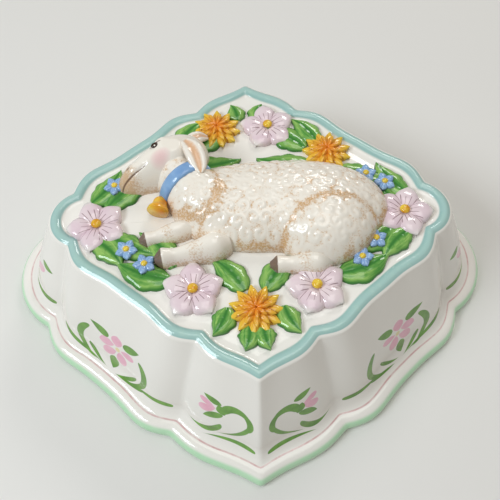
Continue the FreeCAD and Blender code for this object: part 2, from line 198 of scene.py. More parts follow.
# The wreath: places in shares of half the rim's width and half its depth
RIM_HALVES = np.array((91.0, 79.0))
DAISY_PLACES = ((-0.290, -0.490), (0.290, -0.490), (0.765, -0.030), (-0.765, -0.060), (0.110, 0.635))
MARIGOLD_PLACES = ((0.0, -0.620), (0.415, 0.425), (-0.165, 0.625))
FORGET_PLACES = (
    (0.520, -0.330), (0.600, -0.215), (-0.520, -0.330), (-0.610, -0.235),
    (0.600, 0.235), (0.690, 0.170), (-0.690, 0.200),
)
DAISY_SPINS, MARIGOLD_SPINS, FORGET_SPINS = (0, 14, -20, 25, 8), (0, 11, 23), np.arange(7) * 21
# Tiers of a marigold: share of its radius, petals, rise, base and turn
MARIGOLD_TIERS = ((1.0, 11, 3.2, 0.0, 0), (0.74, 10, 3.0, 1.5, 18), (0.48, 8, 2.6, 3.2, 5))
# Leaves: place of the root, heading in degrees, share of a whole leaf and hand of the bend
LEAF_ROWS = np.array((
    (0.033, -0.710, -78.0, 0.40, 1), (0.130, -0.600, -62.0, 0.52, 1), (0.050, -0.500, 48.0, 0.80, -1),
    (0.400, -0.420, 22.0, 0.95, 1), (0.380, -0.340, 48.0, 0.90, -1), (0.700, -0.120, 208.0, 0.90, -1),
    (0.780, -0.150, 226.0, 0.75, 1), (0.720, 0.060, 142.0, 1.00, 1), (0.800, 0.100, 124.0, 0.82, -1),
    (0.460, 0.300, -12.0, 0.85, 1), (0.330, 0.340, 172.0, 1.00, -1), (0.300, 0.460, 150.0, 0.95, 1),
    (0.370, 0.500, 128.0, 0.70, 1), (0.050, 0.700, 70.0, 0.38, -1),
))
# Side veins of a leaf: how many, and how far they sweep back towards the edge
LEAF_VEINS, VEIN_SWEEP = 5.0, 0.9


def both_ways(rows):
    """Brush marks and their mirror images."""
    return rows + tuple(((-x, y), (-u, v), half, -bow, full) for (x, y), (u, v), half, bow, full in rows)


# Painted sprays, in millimetres along each panel and up from the pink line. Leaves, calyx and petals:
# root, tip, half width, bow and the share of the length at which the mark is fullest. Scrolls:
# centre, radius, start and turn in degrees, half width, fullest share and growth of the radius.
LONG_LEAVES = (
    ((1.5, 1.9), (33.0, 8.0), 1.35, -1.0, 0.86), ((1.0, 1.9), (14.9, 9.9), 1.45, -1.8, 0.84),
    ((-12.0, 2.9), (-37.2, 6.9), 1.4, -1.9, 0.80), ((-3.0, 1.9), (-21.0, 5.4), 0.75, 0.6, 0.60),
)
LONG_SCROLLS = (
    ((9.2, 13.6), 11.0, 57.0, -156.0, 2.05, 0.28, 0.4), ((-9.6, 13.9), 11.0, 120.0, 158.0, 1.95, 0.30, -0.1),
)
LONG_CALYX = (
    ((3.6, 24.3), (15.4, 27.6), 2.4, -0.5, 0.30), ((-5.2, 24.5), (-15.0, 28.6), 2.5, 0.2, 0.34),
    ((-1.0, 13.4), (-1.2, 3.6), 2.95, 0.0, 0.44), ((-3.0, 1.9), (-15.4, 10.0), 1.2, 2.0, 0.74),
)
LONG_PETALS = (
    ((-1.7, 21.6), (-0.9, 28.5), 3.3, 0.0, 0.52), ((-0.2, 21.5), (8.9, 18.5), 2.75, 0.3, 0.56),
    ((-1.9, 18.3), (5.7, 12.1), 2.8, 0.2, 0.60), ((-4.0, 20.4), (-12.4, 20.6), 2.0, 0.0, 0.60),
    ((-3.8, 19.2), (-7.2, 11.3), 3.1, 0.2, 0.56),
)
LONG_DOT, LONG_DOT_RADIUS = (-2.5, 19.9), 1.4
TIP_LEAVES = (
    ((17.6, 22.4), (27.7, 16.7), 1.95, 0.3, 0.42), ((37.8, 7.4), (18.6, 14.7), 1.9, 4.2, 0.78),
    ((29.5, 2.6), (2.4, 4.6), 1.3, -2.0, 0.80), ((3.6, 24.6), (22.0, 7.2), 1.15, -3.7, 0.30),
    ((19.2, 28.2), (17.0, 22.6), 2.3, 0.4, 0.52),
)
TIP_SCROLLS = (
    ((11.2, 22.2), 6.5, 14.0, 196.0, 2.15, 0.22, 0.3), ((11.0, 22.2), 6.5, 96.0, 150.0, 1.6, 0.5, -0.2),
)
TIP_CALYX = (((17.9, 28.6), (26.5, 31.4), 1.9, -0.3, 0.42),)
TIP_PETALS = (
    ((20.9, 25.1), (28.6, 27.8), 1.75, 0.3, 0.66), ((20.8, 25.3), (29.7, 21.2), 2.2, -0.2, 0.64),
)
LOBE_LEAVES = both_ways((
    ((8.8, 30.3), (18.2, 29.2), 1.9, -0.4, 0.4), ((1.4, 4.2), (25.0, 8.0), 1.6, -0.6, 0.82),
    ((5.4, 16.2), (9.4, 9.8), 1.7, -0.3, 0.4),
))
LOBE_PETALS = (
    ((0.0, 22.2), (0.0, 31.6), 2.5, 0.0, 0.6),
    *both_ways((((2.4, 16.6), (12.4, 25.6), 2.6, 0.3, 0.62), ((1.0, 18.8), (4.4, 11.6), 2.1, 0.0, 0.6))),
)
LOBE_DOT, LOBE_DOT_RADIUS = (0.0, 20.2), 1.2
# How far on and up the hand has set a long side's flower, and a tip's spray and bud, on the right
FLOWER_SHIFT, SPRAY_SHIFT, BUD_SHIFT = (3.4, 1.0), (1.6, -1.1), (-1.4, 1.7)
SOFT_EDGE, BLUNT_END, LEAD_IN = 0.14, 0.15, 0.02

# Stage: lamps with place and width in metres, power in watts and colour
LAMP_AIM = Vector((0, 0, 0.04))
LAMPS = (
    ("window", (-0.74, -0.34, 0.80), 0.50, 6.6, (0.86, 0.94, 1.0)),
    ("lantern", (0.35, 0.80, 0.80), 0.35, 2.6, (1.0, 0.99, 0.97)),
    ("ceiling", (0.10, 0.00, 1.30), 0.90, 4.6, (1.0, 0.99, 0.95)),
)
ROOM_COLOUR, ROOM_STRENGTH, FLOOR_HALF = (1.0, 0.97, 0.91, 1), 0.27, 6.0
# Camera fitted to the outlines in the photo: turns in radians, and its place in its own axes
VIEW_YAW, VIEW_LIFT, VIEW_ROLL = -0.042, math.radians(60.0), 0.002
VIEW_RIGHT, VIEW_UP, VIEW_BACK = -0.000529, 0.011458, 0.343315
SENSOR_WIDTH, FOCAL_PIXELS, PICTURE_PIXELS = 36, 644.015, 500


def srgb(red, green, blue):
    """Linear colour of an 8-bit screen colour."""
    shares = np.array((red, green, blue)) / 255
    return tuple(np.where(shares <= 0.04045, shares / 12.92, ((shares + 0.055) / 1.055) ** 2.4).tolist())


def colour(name, red, green, blue, text):
    shade = srgb(red, green, blue)
    return FloatVectorProperty(name=name, description=text, default=shade, min=0, max=1, subtype="COLOR")


def length(name, millimetres, text):
    return FloatProperty(name=name, description=text, default=millimetres * MM, min=0, unit="LENGTH")


class MouldSizes(bpy.types.PropertyGroup):
    bead_line: length("White edge", 0.35, "White edge left outside the painted bead")
    edge_band: length("Edge band", 6.1, "Way from the pink line down to the green band round the foot")
    pink_line: length("Pink line", 0.75, "Width of the line painted round the foot")
    curl_pitch: length("Curl pitch", 6.4, "Distance between the curls of the fleece")
    curl_depth: length("Curl depth", 0.75, "Depth of the curls of the fleece")
    leaf_length: length("Leaf length", 27.0, "Length of a whole leaf")
    leaf_width: length("Leaf width", 12.5, "Width of a whole leaf")
    leaf_rise: length("Leaf rise", 3.4, "Height of a leaf over the field")
    daisy_radius: length("Daisy radius", 14.5, "Radius of the pink blossoms")
    marigold_radius: length("Marigold radius", 12.5, "Radius of the orange blossoms")
    forget_radius: length("Forget-me-not radius", 5.4, "Radius of the blue blossoms")
    leaf_bend: FloatProperty(
        name="Leaf bend", description="Turn of a leaf from root to tip in degrees", default=34, min=1, max=90
    )
    lamb_sides: IntProperty(name="Lamb sides", description="Points round the body", default=480, min=48)


class MouldColours(bpy.types.PropertyGroup):
    white: colour("White glaze", 238, 234, 227, "Glaze of the body")
    mint: colour("Mint", 182, 225, 185, "Band round the foot")
    aqua: colour("Aqua", 164, 199, 192, "Bead round the field")
    rose_line: colour("Rose line", 203, 150, 152, "Line round the foot")
    scroll_green: colour("Scroll green", 102, 159, 48, "Painted scrolls and leaves")
    spray_pink: colour("Spray pink", 230, 156, 182, "Painted blossoms")
    dot_yellow: colour("Dot yellow", 226, 206, 110, "Painted dots")
    cream: colour("Cream", 240, 233, 222, "Glaze of the lamb")
    tan: colour("Tan", 198, 152, 96, "Stipple on the lamb")
    hoof: colour("Hoof", 104, 76, 58, "Hooves, eyes and nose")
    leaf_dark: colour("Dark leaf", 34, 94, 38, "Edges and veins of the leaves")
    leaf_mid: colour("Leaf", 74, 143, 62, "Body of the leaves")
    leaf_light: colour("Light leaf", 160, 202, 108, "Lit middle of the leaves")
    petal: colour("Petal", 231, 215, 218, "Pink blossoms")
    vein: colour("Vein", 118, 82, 88, "Veins of the pink blossoms")
    yellow: colour("Yellow", 236, 204, 70, "Eyes of the blossoms and the bell")
    orange: colour("Orange", 226, 122, 26, "Orange blossoms")
    rust: colour("Rust", 140, 62, 24, "Lines in the orange blossoms")
    blue: colour("Blue", 150, 186, 222, "Neck band and blue blossoms")
    blue_deep: colour("Deep blue", 108, 148, 200, "Shaded blue")


def math_method(operation, reflected=False):
    """Method of a signal that adds the Math node of an operation."""

    def method(self, *others):
        values = (*others, self) if reflected else (self, *others)
        return self.shader.node("ShaderNodeMath", {"operation": operation}, dict(enumerate(values)))

    return method


class Signal:
    """A shader socket; arithmetic on it adds Math nodes."""

    def __init__(self, shader, socket):
        self.shader = shader
        self.socket = socket

    __add__ = __radd__ = math_method("ADD")
    __sub__ = math_method("SUBTRACT")
    __rsub__ = math_method("SUBTRACT", reflected=True)
    __mul__ = __rmul__ = math_method("MULTIPLY")
    __truediv__ = math_method("DIVIDE")
    __pow__ = math_method("POWER")
    __or__ = math_method("MAXIMUM")
    __and__ = math_method("MINIMUM")
    __abs__ = math_method("ABSOLUTE")
    sine = math_method("SINE")
    bearing = math_method("ARCTAN2")
    fraction = math_method("FRACT")
    folded = math_method("PINGPONG")
    root = math_method("SQRT")

    def over(self, edge, soft):
        """1 over an edge and 0 under it, with a soft step."""
        return self.shader.node(
            "ShaderNodeMapRange", {"interpolation_type": "SMOOTHSTEP"},
            {"Value": self, "From Min": edge - soft, "From Max": edge + soft},
        )

    def under(self, edge, soft):
        return 1 - self.over(edge, soft)

    def within(self, low, high, soft):
        """1 between two values and 0 outside, with soft edges."""
        return self.over(low, soft) & self.under(high, soft)

    def ramp(self, low, high, start=0.0, end=1.0):
        """Straight rise from start at low to end at high, held outside."""
        ends = {"From Min": low, "From Max": high, "To Min": start, "To Max": end}
        return self.shader.node("ShaderNodeMapRange", {}, {"Value": self, **ends})


class Glaze:
    """Material builder: one method adds any node, and finish joins the glossy glaze."""

    def __init__(self, name):
        self.material = bpy.data.materials.new(name)
        self.material.use_nodes = True
        self.tree = self.material.node_tree
        self.tree.nodes.clear()

    def node(self, kind, settings=None, inputs=None, output=0):
        """Adds a node, sets it, feeds its sockets with values or signals, and returns an output."""
        made = self.tree.nodes.new(kind)
        for key, value in (settings or {}).items():
            setattr(made, key, value)
        for key, value in (inputs or {}).items():
            socket = made.inputs[key]
            if isinstance(value, Signal):
                self.tree.links.new(value.socket, socket)
            elif socket.type == "RGBA" and len(value) == 3:
                socket.default_value = (*value, 1)
            else:
                socket.default_value = value
        return Signal(self, made.outputs[output]) if made.outputs else None

    def place(self):
        return self.node("ShaderNodeTexCoord", output="Object")

    def attribute(self, name, output="Fac"):
        return self.node("ShaderNodeAttribute", {"attribute_name": name}, output=output)

    def axes(self, vector):
        split = self.node("ShaderNodeSeparateXYZ", inputs={0: vector}).socket.node
        return [Signal(self, socket) for socket in split.outputs]

    def layer(self, name="shade"):
        """The three numbers that the piece carries at each point or corner."""
        return self.axes(self.attribute(name, "Vector"))

    def noise(self, scale, detail=2.0, roughness=0.5, vector=None):
        values = {"Vector": vector or self.place(), "Scale": scale, "Detail": detail, "Roughness": roughness}
        return self.node("ShaderNodeTexNoise", {}, values)

    def stipple(self):
        """Fine grain of sponged colour."""
        return self.noise(1150.0, 2.0, 0.7)

    def mix(self, factor, first, second):
        return self.node("ShaderNodeMix", {"data_type": "RGBA"}, {0: factor, 6: first, 7: second}, output=2)

    def finish(self, colour, bump=None, depth=0.0002, gloss=0.05):
        """Glossy glaze over the colour: its roughness drifts a little, and its level swells and dips
        by the depth in metres, with the piece's own bump on top."""
        drift = self.noise(38.0, 1.5)
        level = self.noise(95.0, 1.0) * 0.35 + drift * 0.65
        if bump is not None:
            level = level * 0.25 + bump
        normal = self.node("ShaderNodeBump", {}, {"Height": level, "Strength": 1.0, "Distance": depth})
        roughness = drift.ramp(0.3, 0.7, gloss, gloss + 0.05)
        return self.surface({"Base Color": colour, "Roughness": roughness, "IOR": 1.5, "Normal": normal})

    def surface(self, values):
        """Joins the shader with its values to the output, and returns the finished material."""
        shaded = self.node("ShaderNodeBsdfPrincipled", {}, values)
        self.node("ShaderNodeOutputMaterial", {}, {"Surface": shaded})
        return self.material


def toned(base, *factors):
    """A colour with its red, green and blue multiplied."""
    return np.array(base) * factors


def oval(x, y, centre, weights=(1.0, 1.0)):
    """Weighted sum of the squares of two distances from a centre."""
    dx, dy = x - centre[0], y - centre[1]
    return dx * dx * weights[0] + dy * dy * weights[1]


def stacked(*parts):
    """Arrays spread over one another's shapes, side by side in a last axis."""
    return np.stack(np.broadcast_arrays(*parts), -1)


def circle(count):
    """Cosines and sines of evenly spaced angles."""
    angle = np.linspace(0, 2 * np.pi, count, endpoint=False)
    return np.cos(angle), np.sin(angle)


def bell_curve(values, spread):
    """1 at 0, falling off as e to the power of minus the square of value over spread."""
    return np.exp(-(values / spread) ** 2)


def flowing(keys, runs):
    """Samples of a smooth curve through keys: cubic spans whose slope at each key is that of the
    parabola through it and its neighbours, over the length of the chords."""
    keys = np.asarray(keys, float)
    runs = np.broadcast_to(runs, len(keys) - 1).astype(int)
    chords = np.maximum(np.linalg.norm(np.diff(keys, axis=0), axis=1), 1e-9)[:, None]
    slopes = np.diff(keys, axis=0) / chords
    inner = (chords[1:] * slopes[:-1] + chords[:-1] * slopes[1:]) / (chords[1:] + chords[:-1])
    bends = np.vstack([slopes[:1], inner, slopes[-1:]])
    span = np.append(np.repeat(np.arange(len(runs)), runs), len(runs) - 1)
    t = np.append(np.concatenate([np.arange(n) / n for n in runs]), 1.0)[:, None]
    start, end = keys[span], keys[span + 1]
    rise = (2 * t**3 - 3 * t**2 + 1) * start + (3 * t**2 - 2 * t**3) * end
    return rise + chords[span] * ((t**3 - 2 * t**2 + t) * bends[span] + (t**3 - t**2) * bends[span + 1])


def blurred(values, spread, axis):
    """Values on a closed ring, averaged with their neighbours by a bell curve."""
    reach = int(np.ceil(3 * spread))
    steps = np.arange(-reach, reach + 1)
    weights = np.exp(-0.5 * (steps / spread) ** 2)
    weights /= weights.sum()
    return sum(weight * np.roll(values, step, axis=axis) for weight, step in zip(weights, steps))


def inside_out(points, quads):
    """Whether the solid that the quads close has a negative volume, summed over fans of tetrahedra."""
    first, second, third, fourth = (points[quads[:, k]] for k in range(4))
    fans = ((second, third), (third, fourth))
    return sum(np.einsum("ij,ij->i", first, np.cross(a, b)) for a, b in fans).sum() < 0


def cells(rows, around, closed):
    """Rows and columns of the four corners of a grid's cells: this row, on along it, next row, back."""
    row, column = np.meshgrid(np.arange(rows if closed else rows - 1), np.arange(around), indexing="ij")
    below, after = (row + 1) % rows, (column + 1) % around
    return np.stack([row, row, below, below], -1), np.stack([column, after, after, column], -1)


def make_piece(name, points, faces, node_names, material, attributes):
    """Adds one smooth mesh object from points in millimetres, with attributes for its points or
    corners, and replaces the solids it stands for."""
    mesh = bpy.data.meshes.new(name)
    mesh.from_pydata((points * MM).tolist(), [], [row for block in faces for row in block.tolist()])
    for key, values in attributes.items():
        kind, field = ("FLOAT_VECTOR", "vector") if values.ndim == 2 else ("FLOAT", "value")
        domain = "POINT" if len(values) == len(points) else "CORNER"
        mesh.attributes.new(key, kind, domain).data.foreach_set(field, values.astype(np.float32).ravel())
    mesh.polygons.foreach_set("use_smooth", np.ones(len(mesh.polygons), bool))
    mesh.validate()
    mesh.materials.append(material)
    piece = bpy.data.objects.new(name, mesh)
    bpy.context.scene.collection.objects.link(piece)
    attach(piece, "root")
    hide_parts(*node_names)


def closed_forms(form):
    """Points and faces of closed forms from an array shaped (forms, rows, around, numbers), of which
    the first three numbers are the place and the others go along for the glaze: each row closes on
    itself, and a point at the middle of the first and of the last row closes the ends."""
    forms, rows, around, numbers = form.shape
    each = rows * around + 2
    ends = form[:, (0, -1)].mean(axis=2)
    points = np.concatenate([form.reshape(forms, -1, numbers), ends], axis=1).reshape(-1, numbers)
    row, column = cells(rows, around, False)
    turn = np.arange(around)
    follow, last = np.roll(turn, -1), (rows - 1) * around
    caps = np.concatenate([
        stacked(each - 2, follow, turn),
        stacked(each - 1, last + turn, last + follow),
    ])
    starts = (np.arange(forms) * each)[:, None, None]
    quads = ((row * around + column).reshape(1, -1, 4) + starts).reshape(-1, 4)
    caps = (caps[None] + starts).reshape(-1, 3)
    if inside_out(points[:, :3], quads):
        quads, caps = quads[:, ::-1], caps[:, ::-1]
    return points, (quads, caps)


def quarter_outline(flare, inset):
    """x and y of a quarter of the bracket outline for columns of flare and inset: the corners slide
    from rim to foot, sides bow by sines of their length, and half a lobe is an arc to the middle."""

    def side(start, end, swells, runs):
        share = np.arange(runs)[None] / runs
        terms = swells[0] + (swells[1] - swells[0]) * flare
        push = sum(terms[:, k:k + 1] * np.sin(wave * np.pi * share) for k, wave in enumerate(WAVES))
        run = end - start
        x = start[:, :1] + run[:, :1] * share - run[:, 1:] * push
        y = start[:, 1:] + run[:, 1:] * share + run[:, :1] * push
        return x, y

    tip, tip_notch, lobe_notch, lobe = (
        rim + (foot - rim) * flare - slide * inset
        for rim, foot, slide in zip(RIM_CORNERS, FOOT_CORNERS, CORNER_SLIDES)
    )
    reach = lobe_notch[:, :1] - lobe[:, :1]
    centre = lobe[:, :1] + (reach**2 + lobe_notch[:, 1:] ** 2) / (2 * reach)
    radius = lobe[:, :1] - centre
    opening = np.arctan2(lobe_notch[:, 1:], lobe_notch[:, :1] - centre)
    turns = opening * (1 - np.arange(LOBE_RUNS + 1)[None] / LOBE_RUNS)
    parts = (
        side(tip, tip_notch, TIP_SWELLS, TIP_RUNS),
        side(tip_notch, lobe_notch, LONG_SWELLS, LONG_RUNS),
        (centre + radius * np.cos(turns), radius * np.sin(turns)),
    )
    return [np.concatenate(axis, axis=1) for axis in zip(*parts)]


def lamb_path(rows, runs=7):
    """Samples (x, y, half width, height) in millimetres along a form of the lamb."""
    return flowing(np.array(rows) * LAMB_SCALE, runs)


def balls(x, y, chain):
    """Height over the field of half balls of width w and height h at the places of a chain: the
    greatest h times the root of 1 - (distance / w) squared."""
    shares = ((x[..., None] - chain[:, 0]) ** 2 + (y[..., None] - chain[:, 1]) ** 2) / chain[:, 2] ** 2
    return (chain[:, 3] * np.sqrt(np.clip(1 - shares, 0, None))).max(-1)


def mound(x, y, rows, thinner=0.0):
    """Height over the field of a form of the lamb, as balls along its path, all of them thinner."""
    chain = lamb_path(rows)
    chain[:, 2:] -= thinner
    return balls(x, y, chain[(chain[:, 2:] > LEAST_BALL).all(axis=1)])


def joined(heights, sharpness):
    """Smooth union of heights: the root of the sum of their powers."""
    return (sum(height**sharpness for height in heights)) ** (1 / sharpness)


def polar_reach(height, centre, turns, limit):
    """Farthest distance from the centre, in each direction, at which the height is still above 0."""
    reach = np.linspace(0, limit, 500)[:, None]
    above = height(centre[0] + reach * np.cos(turns), centre[1] + reach * np.sin(turns)) > 1e-6
    far = len(reach) - 1 - above[::-1].argmax(axis=0)
    return blurred(reach[far, 0], 1.6, 0)


def polar_rows(height, centre, turns, limit, shares=1.0):
    """Plan places of rows round a centre, at shares of the way from it to the edge of a form."""
    reach = polar_reach(height, centre, turns, limit)
    return centre[0] + shares * reach * np.cos(turns), centre[1] + shares * reach * np.sin(turns)


def hollow_height(x, y):
    """Height of the hollow under the lamb: the torso, thinner by the wall."""
    return mound(x, y, TORSO[1:-2], LAMB_WALL)


def nearest(measure, value, rows):
    """Index of the row, among those picked, whose measure is nearest to the value."""
    return int(np.argmin(np.where(rows, np.abs(measure - value), np.inf)))


def mould_section():
    """Rows (flare, inset, height, share) of a smooth line through the keys of the closed section,
    which of them lie outside, and how far each lies up the section from the pink line."""
    closed = np.vstack([SECTION, SECTION[:1]])
    profile = flowing(closed[:, :4] * SECTION_SCALE, closed[:-1, 4])[:-1] / SECTION_SCALE
    outer = np.arange(len(profile)) < SECTION[:OUTER_KEYS, 4].sum()
    flat = np.stack([profile[:, 0] * SECTION_SCALE[0] - profile[:, 1], profile[:, 2]], -1)
    climb = np.append(0, np.cumsum(np.linalg.norm(np.diff(flat, axis=0), axis=1)))
    return profile, outer, climb[nearest(profile[:, 0], PINK_LINE_FLARE, outer)] - climb


def mould_grid(profile):
    """The body as one grid closed both ways: the outline runs round it, and the section runs from
    the edge of the lamb's hollow over the field, bead, wall, cove and foot, and back up inside.
    Also, round the outline, the steps along the quarter, and the places along each kind of panel."""
    flare, inset, height, share = (profile[:, k:k + 1] for k in range(4))
    x, y = quarter_outline(flare, inset)
    count = x.shape[1] - 1
    order = np.tile(np.append(np.arange(count, 0, -1), np.arange(count)), 2)
    ring_x = blurred(x[:, order] * np.repeat((1, -1, -1, 1), count), OUTLINE_BLUR, 1)
    ring_y = blurred(y[:, order] * np.repeat((1, 1, -1, -1), count), OUTLINE_BLUR, 1)
    turns = np.arctan2(ring_y[0] - LAMB_CENTRE[1], ring_x[0] - LAMB_CENTRE[0])
    hole_x, hole_y = polar_rows(hollow_height, LAMB_CENTRE, turns, HOLLOW_LIMIT)
    share = np.clip(share, 0, 1)
    ring_x, ring_y = ring_x + (hole_x - ring_x) * share, ring_y + (hole_y - ring_y) * share
    points = stacked(ring_x, ring_y, np.maximum(height, 0))
    steps = np.hypot(np.diff(x, axis=1), np.diff(y, axis=1))
    along = np.concatenate([np.zeros((len(x), 1)), np.cumsum(steps, axis=1)], axis=1)
    middle = (along[:, TIP_RUNS] + along[:, TIP_RUNS + LONG_RUNS]) / 2
    return points, order, np.stack([along, along - middle[:, None], along[:, -1:] - along])


def mould_faces(order, panels, climb):
    """Quads of the closed grid and, at every corner, its place along its panel, how far it lies up
    from the pink line, and the kind of panel: 0 beside a tip, 1 on a long side, 2 on a lobe."""
    around = len(order)
    row, column = (part[..., (0, 3, 2, 1)] for part in cells(len(climb), around, True))
    low = np.minimum(order, np.roll(order, -1))
    kinds = np.searchsorted((TIP_RUNS, TIP_RUNS + LONG_RUNS), low, side="right")
    kind = kinds[column[..., :1]]
    place = panels[kind, row, order[column]]
    return (row * around + column).reshape(-1, 4), stacked(place, climb[row], kind).reshape(-1, 3)


def petal_rings(radius, count, width, rise, root, notch, turn=0, droop=0.4, rows=14, around=18, base=0.0):
    """Rings of the petals of one blossom about the origin. Along a petal its half width swells as a
    sine to a round end with a notch; across it the height falls as a half ellipse to the base. The
    glaze is told how far out and how far aside in its petal each point lies."""
    along = (1 - np.cos(np.pi * np.linspace(0.02, 0.985, rows))) / 2
    across, lift = circle(around)
    swell = np.sin(np.pi * along**0.80) ** 0.62 * (0.55 + 0.45 * along)
    half = width / 2 * swell[:, None] * across
    pull = notch * radius * bell_curve(across, 0.34) * along[:, None] ** 6
    reach = radius * (root + (1 - root) * along)[:, None] - pull
    reach = reach - radius * 0.16 * across**2 * along[:, None] ** 2
    crown = rise * (1 - droop * (2 * along - 1)[:, None] ** 2)
    furrow = 1 - 0.16 * bell_curve(across, 0.16)
    height = np.where(lift > 0, crown * np.abs(lift) ** 0.75 * furrow, -0.25) + base
    turns = np.radians(turn) + 2 * np.pi * np.arange(count)[:, None, None] / count
    x = reach * np.cos(turns) - half * np.sin(turns)
    y = reach * np.sin(turns) + half * np.cos(turns)
    return stacked(x, y, height, reach, half, 0)


def dome_rings(radius, rise, rows=8, around=20, base=0.0):
    """Rings of a round button: radius falls as a cosine while the height climbs as a sine."""
    climb = np.linspace(0, 0.96, rows) * np.pi / 2
    cos, sin = circle(around)
    reach = np.concatenate([[0.3], np.cos(climb)])[:, None] * radius
    height = np.concatenate([[-0.3], np.sin(climb) * rise])[:, None] + base
    return stacked(reach * cos, reach * sin, height)[None]


def scattered(form, places, spins=0):
    """Copies of a form on the field at places of the wreath, each turned by its spin in degrees."""
    x, y, height, *layer = np.moveaxis(form, -1, 0)
    centres = (np.array(places) * RIM_HALVES).T[:, :, None, None, None]
    turns = np.radians(np.broadcast_to(spins, len(places)))[:, None, None, None]
    cos, sin = np.cos(turns), np.sin(turns)
    x, y = x * cos - y * sin + centres[0], x * sin + y * cos + centres[1]
    return stacked(x, y, height + FIELD, *layer).reshape(-1, *form.shape[1:])


def leaf_rings(rows, long, wide, tall, bend, side):
    """Rings of leaves: along an arc the half width swells and shows three soft lobes; across it the
    height is a rounded ridge, sunk along the midrib and the side veins. The glaze is told the shares
    of the way along and aside, and a hue for each leaf."""
    along = (1 - np.cos(np.pi * np.linspace(0.01, 0.995, 30))) / 2
    across, lift = circle(26)
    root_x, root_y, heading, share, hand = rows.T[:, :, None, None]
    turn = np.radians(bend) * hand
    start = np.radians(heading) - turn / 2
    swell = np.sin(np.pi * (0.07 + 0.92 * along) ** 0.82)[:, None]
    lobes = 1 + 0.17 * np.abs(np.sin(3.3 * np.pi * along + 0.4))[:, None] * np.abs(across) ** 3
    half = wide / 2 * (0.55 + 0.45 * share) * swell * lobes * across
    turned = start + turn * along[None, :, None]
    bow = long * share / turn
    x = root_x * RIM_HALVES[0] + bow * (np.sin(turned) - np.sin(start)) - half * np.sin(turned)
    y = root_y * RIM_HALVES[1] + bow * (np.cos(start) - np.cos(turned)) + half * np.cos(turned)
    veins = np.cos(2 * np.pi * (along[:, None] * LEAF_VEINS - np.abs(across) * VEIN_SWEEP))
    fine = (1 - across**2) * np.clip(2 * share - 1, 0.25, 1)
    cut = 0.42 * bell_curve(across, 0.10) + 0.10 * np.clip(veins, 0.2, 1) * fine
    crown = (0.62 + 0.38 * np.sin(np.pi * along))[:, None] * np.abs(lift) ** 0.8
    roll = (0.92 + 0.08 * np.cos(7 * along))[:, None]
    height = np.where(lift > 0, tall * crown * (1 - cut) * roll, -0.3)
    return stacked(side * x, y, height + FIELD, along[:, None], across, rows[:, 0, None, None] * 9 % 1)


def swept(path, spread, height, cos, sin):
    """Rings across a path in plan, from how far each point lies aside and how high over the field.
    The glaze is told the share of the way along, and the place round the ring."""
    slope = np.gradient(path[:, :2], axis=0)
    across = np.stack([-slope[:, 1], slope[:, 0]], -1) / np.linalg.norm(slope, axis=1)[:, None]
    x, y = (path[:, k:k + 1] + across[:, k:k + 1] * spread for k in (0, 1))
    return stacked(x, y, height + FIELD, np.linspace(0, 1, len(path))[:, None], cos, sin)[None]


def limb_rings(rows, hoof):
    """Rings of a limb on the field: half ellipses of the width and height at each place along it,
    slimmer at the shin, cleft at the hoof, with a flat sole just under the field."""
    path = lamb_path(rows, 12)
    cos, sin = circle(30)
    share = np.linspace(0, 1, len(path))[:, None]
    shin = 1 - 0.17 * bell_curve(share - 0.60, 0.13) + 0.06 * bell_curve(share - 0.80, 0.05)
    cleft = 1 - 0.30 * bell_curve(cos, 0.14) * np.clip((share - hoof) * 14, 0, 1)
    height = np.where(sin > 0, np.abs(sin) ** 0.85 * path[:, 3:4] * shin * cleft, -0.3)
    return swept(path, cos * path[:, 2:3] * shin, height, cos, sin)


def ear_rings(rows):
    """Rings of a hanging ear: flattened ovals whose tops follow the table, dished along the middle."""
    path = lamb_path(rows, 9)
    cos, sin = circle(24)
    thick = EAR_THICKNESS * np.minimum(1, path[:, 2:3] / path[:, 2].max() + 0.25)
    dish = 0.36 * thick * bell_curve(cos, 0.42) * (sin > 0)
    return swept(path, cos * path[:, 2:3], path[:, 3:4] - thick / 2 + thick / 2 * sin - dish, cos, sin)


def curls(x, y, centres, size):
    """Fleece: at each place the tallest of round locks, each grooved by its own spiral."""
    dx, dy = x[..., None] - centres[:, 0], y[..., None] - centres[:, 1]
    reach = np.hypot(dx, dy) / size
    hand = np.where(np.arange(len(centres)) % 2, 1, -1)
    spiral = np.cos(2 * np.pi * 1.35 * reach - hand * np.arctan2(dy, dx) + centres[:, 2])
    return (np.clip(1 - reach**2, 0, None) ** 0.8 * (0.72 + 0.28 * spiral)).max(-1)


def curl_centres(pitch):
    """Slightly uneven rows of curl centres over the body, with a phase for each spiral."""
    row, column = (part.ravel() for part in np.meshgrid(np.arange(-8, 9), np.arange(-9, 12), indexing="ij"))
    x = (column + 0.5 * (row % 2)) * pitch + 0.9 * np.sin(5.1 * row + 2.3 * column)
    y = row * pitch * 0.86 + 0.8 * np.sin(3.7 * column + 1.9 * row)
    return np.stack([x, y, row * 1.7 + column * 2.9], -1)[body_height(x, y) > 5.0]


def body_parts(x, y):
    """Heights of torso, haunch and neck over the field."""
    return [mound(x, y, rows) for rows in (TORSO, HAUNCH, NECK)]


def body_height(x, y):
    """Smooth union of torso, haunch and neck."""
    return joined(body_parts(x, y), BODY_SHARPNESS)


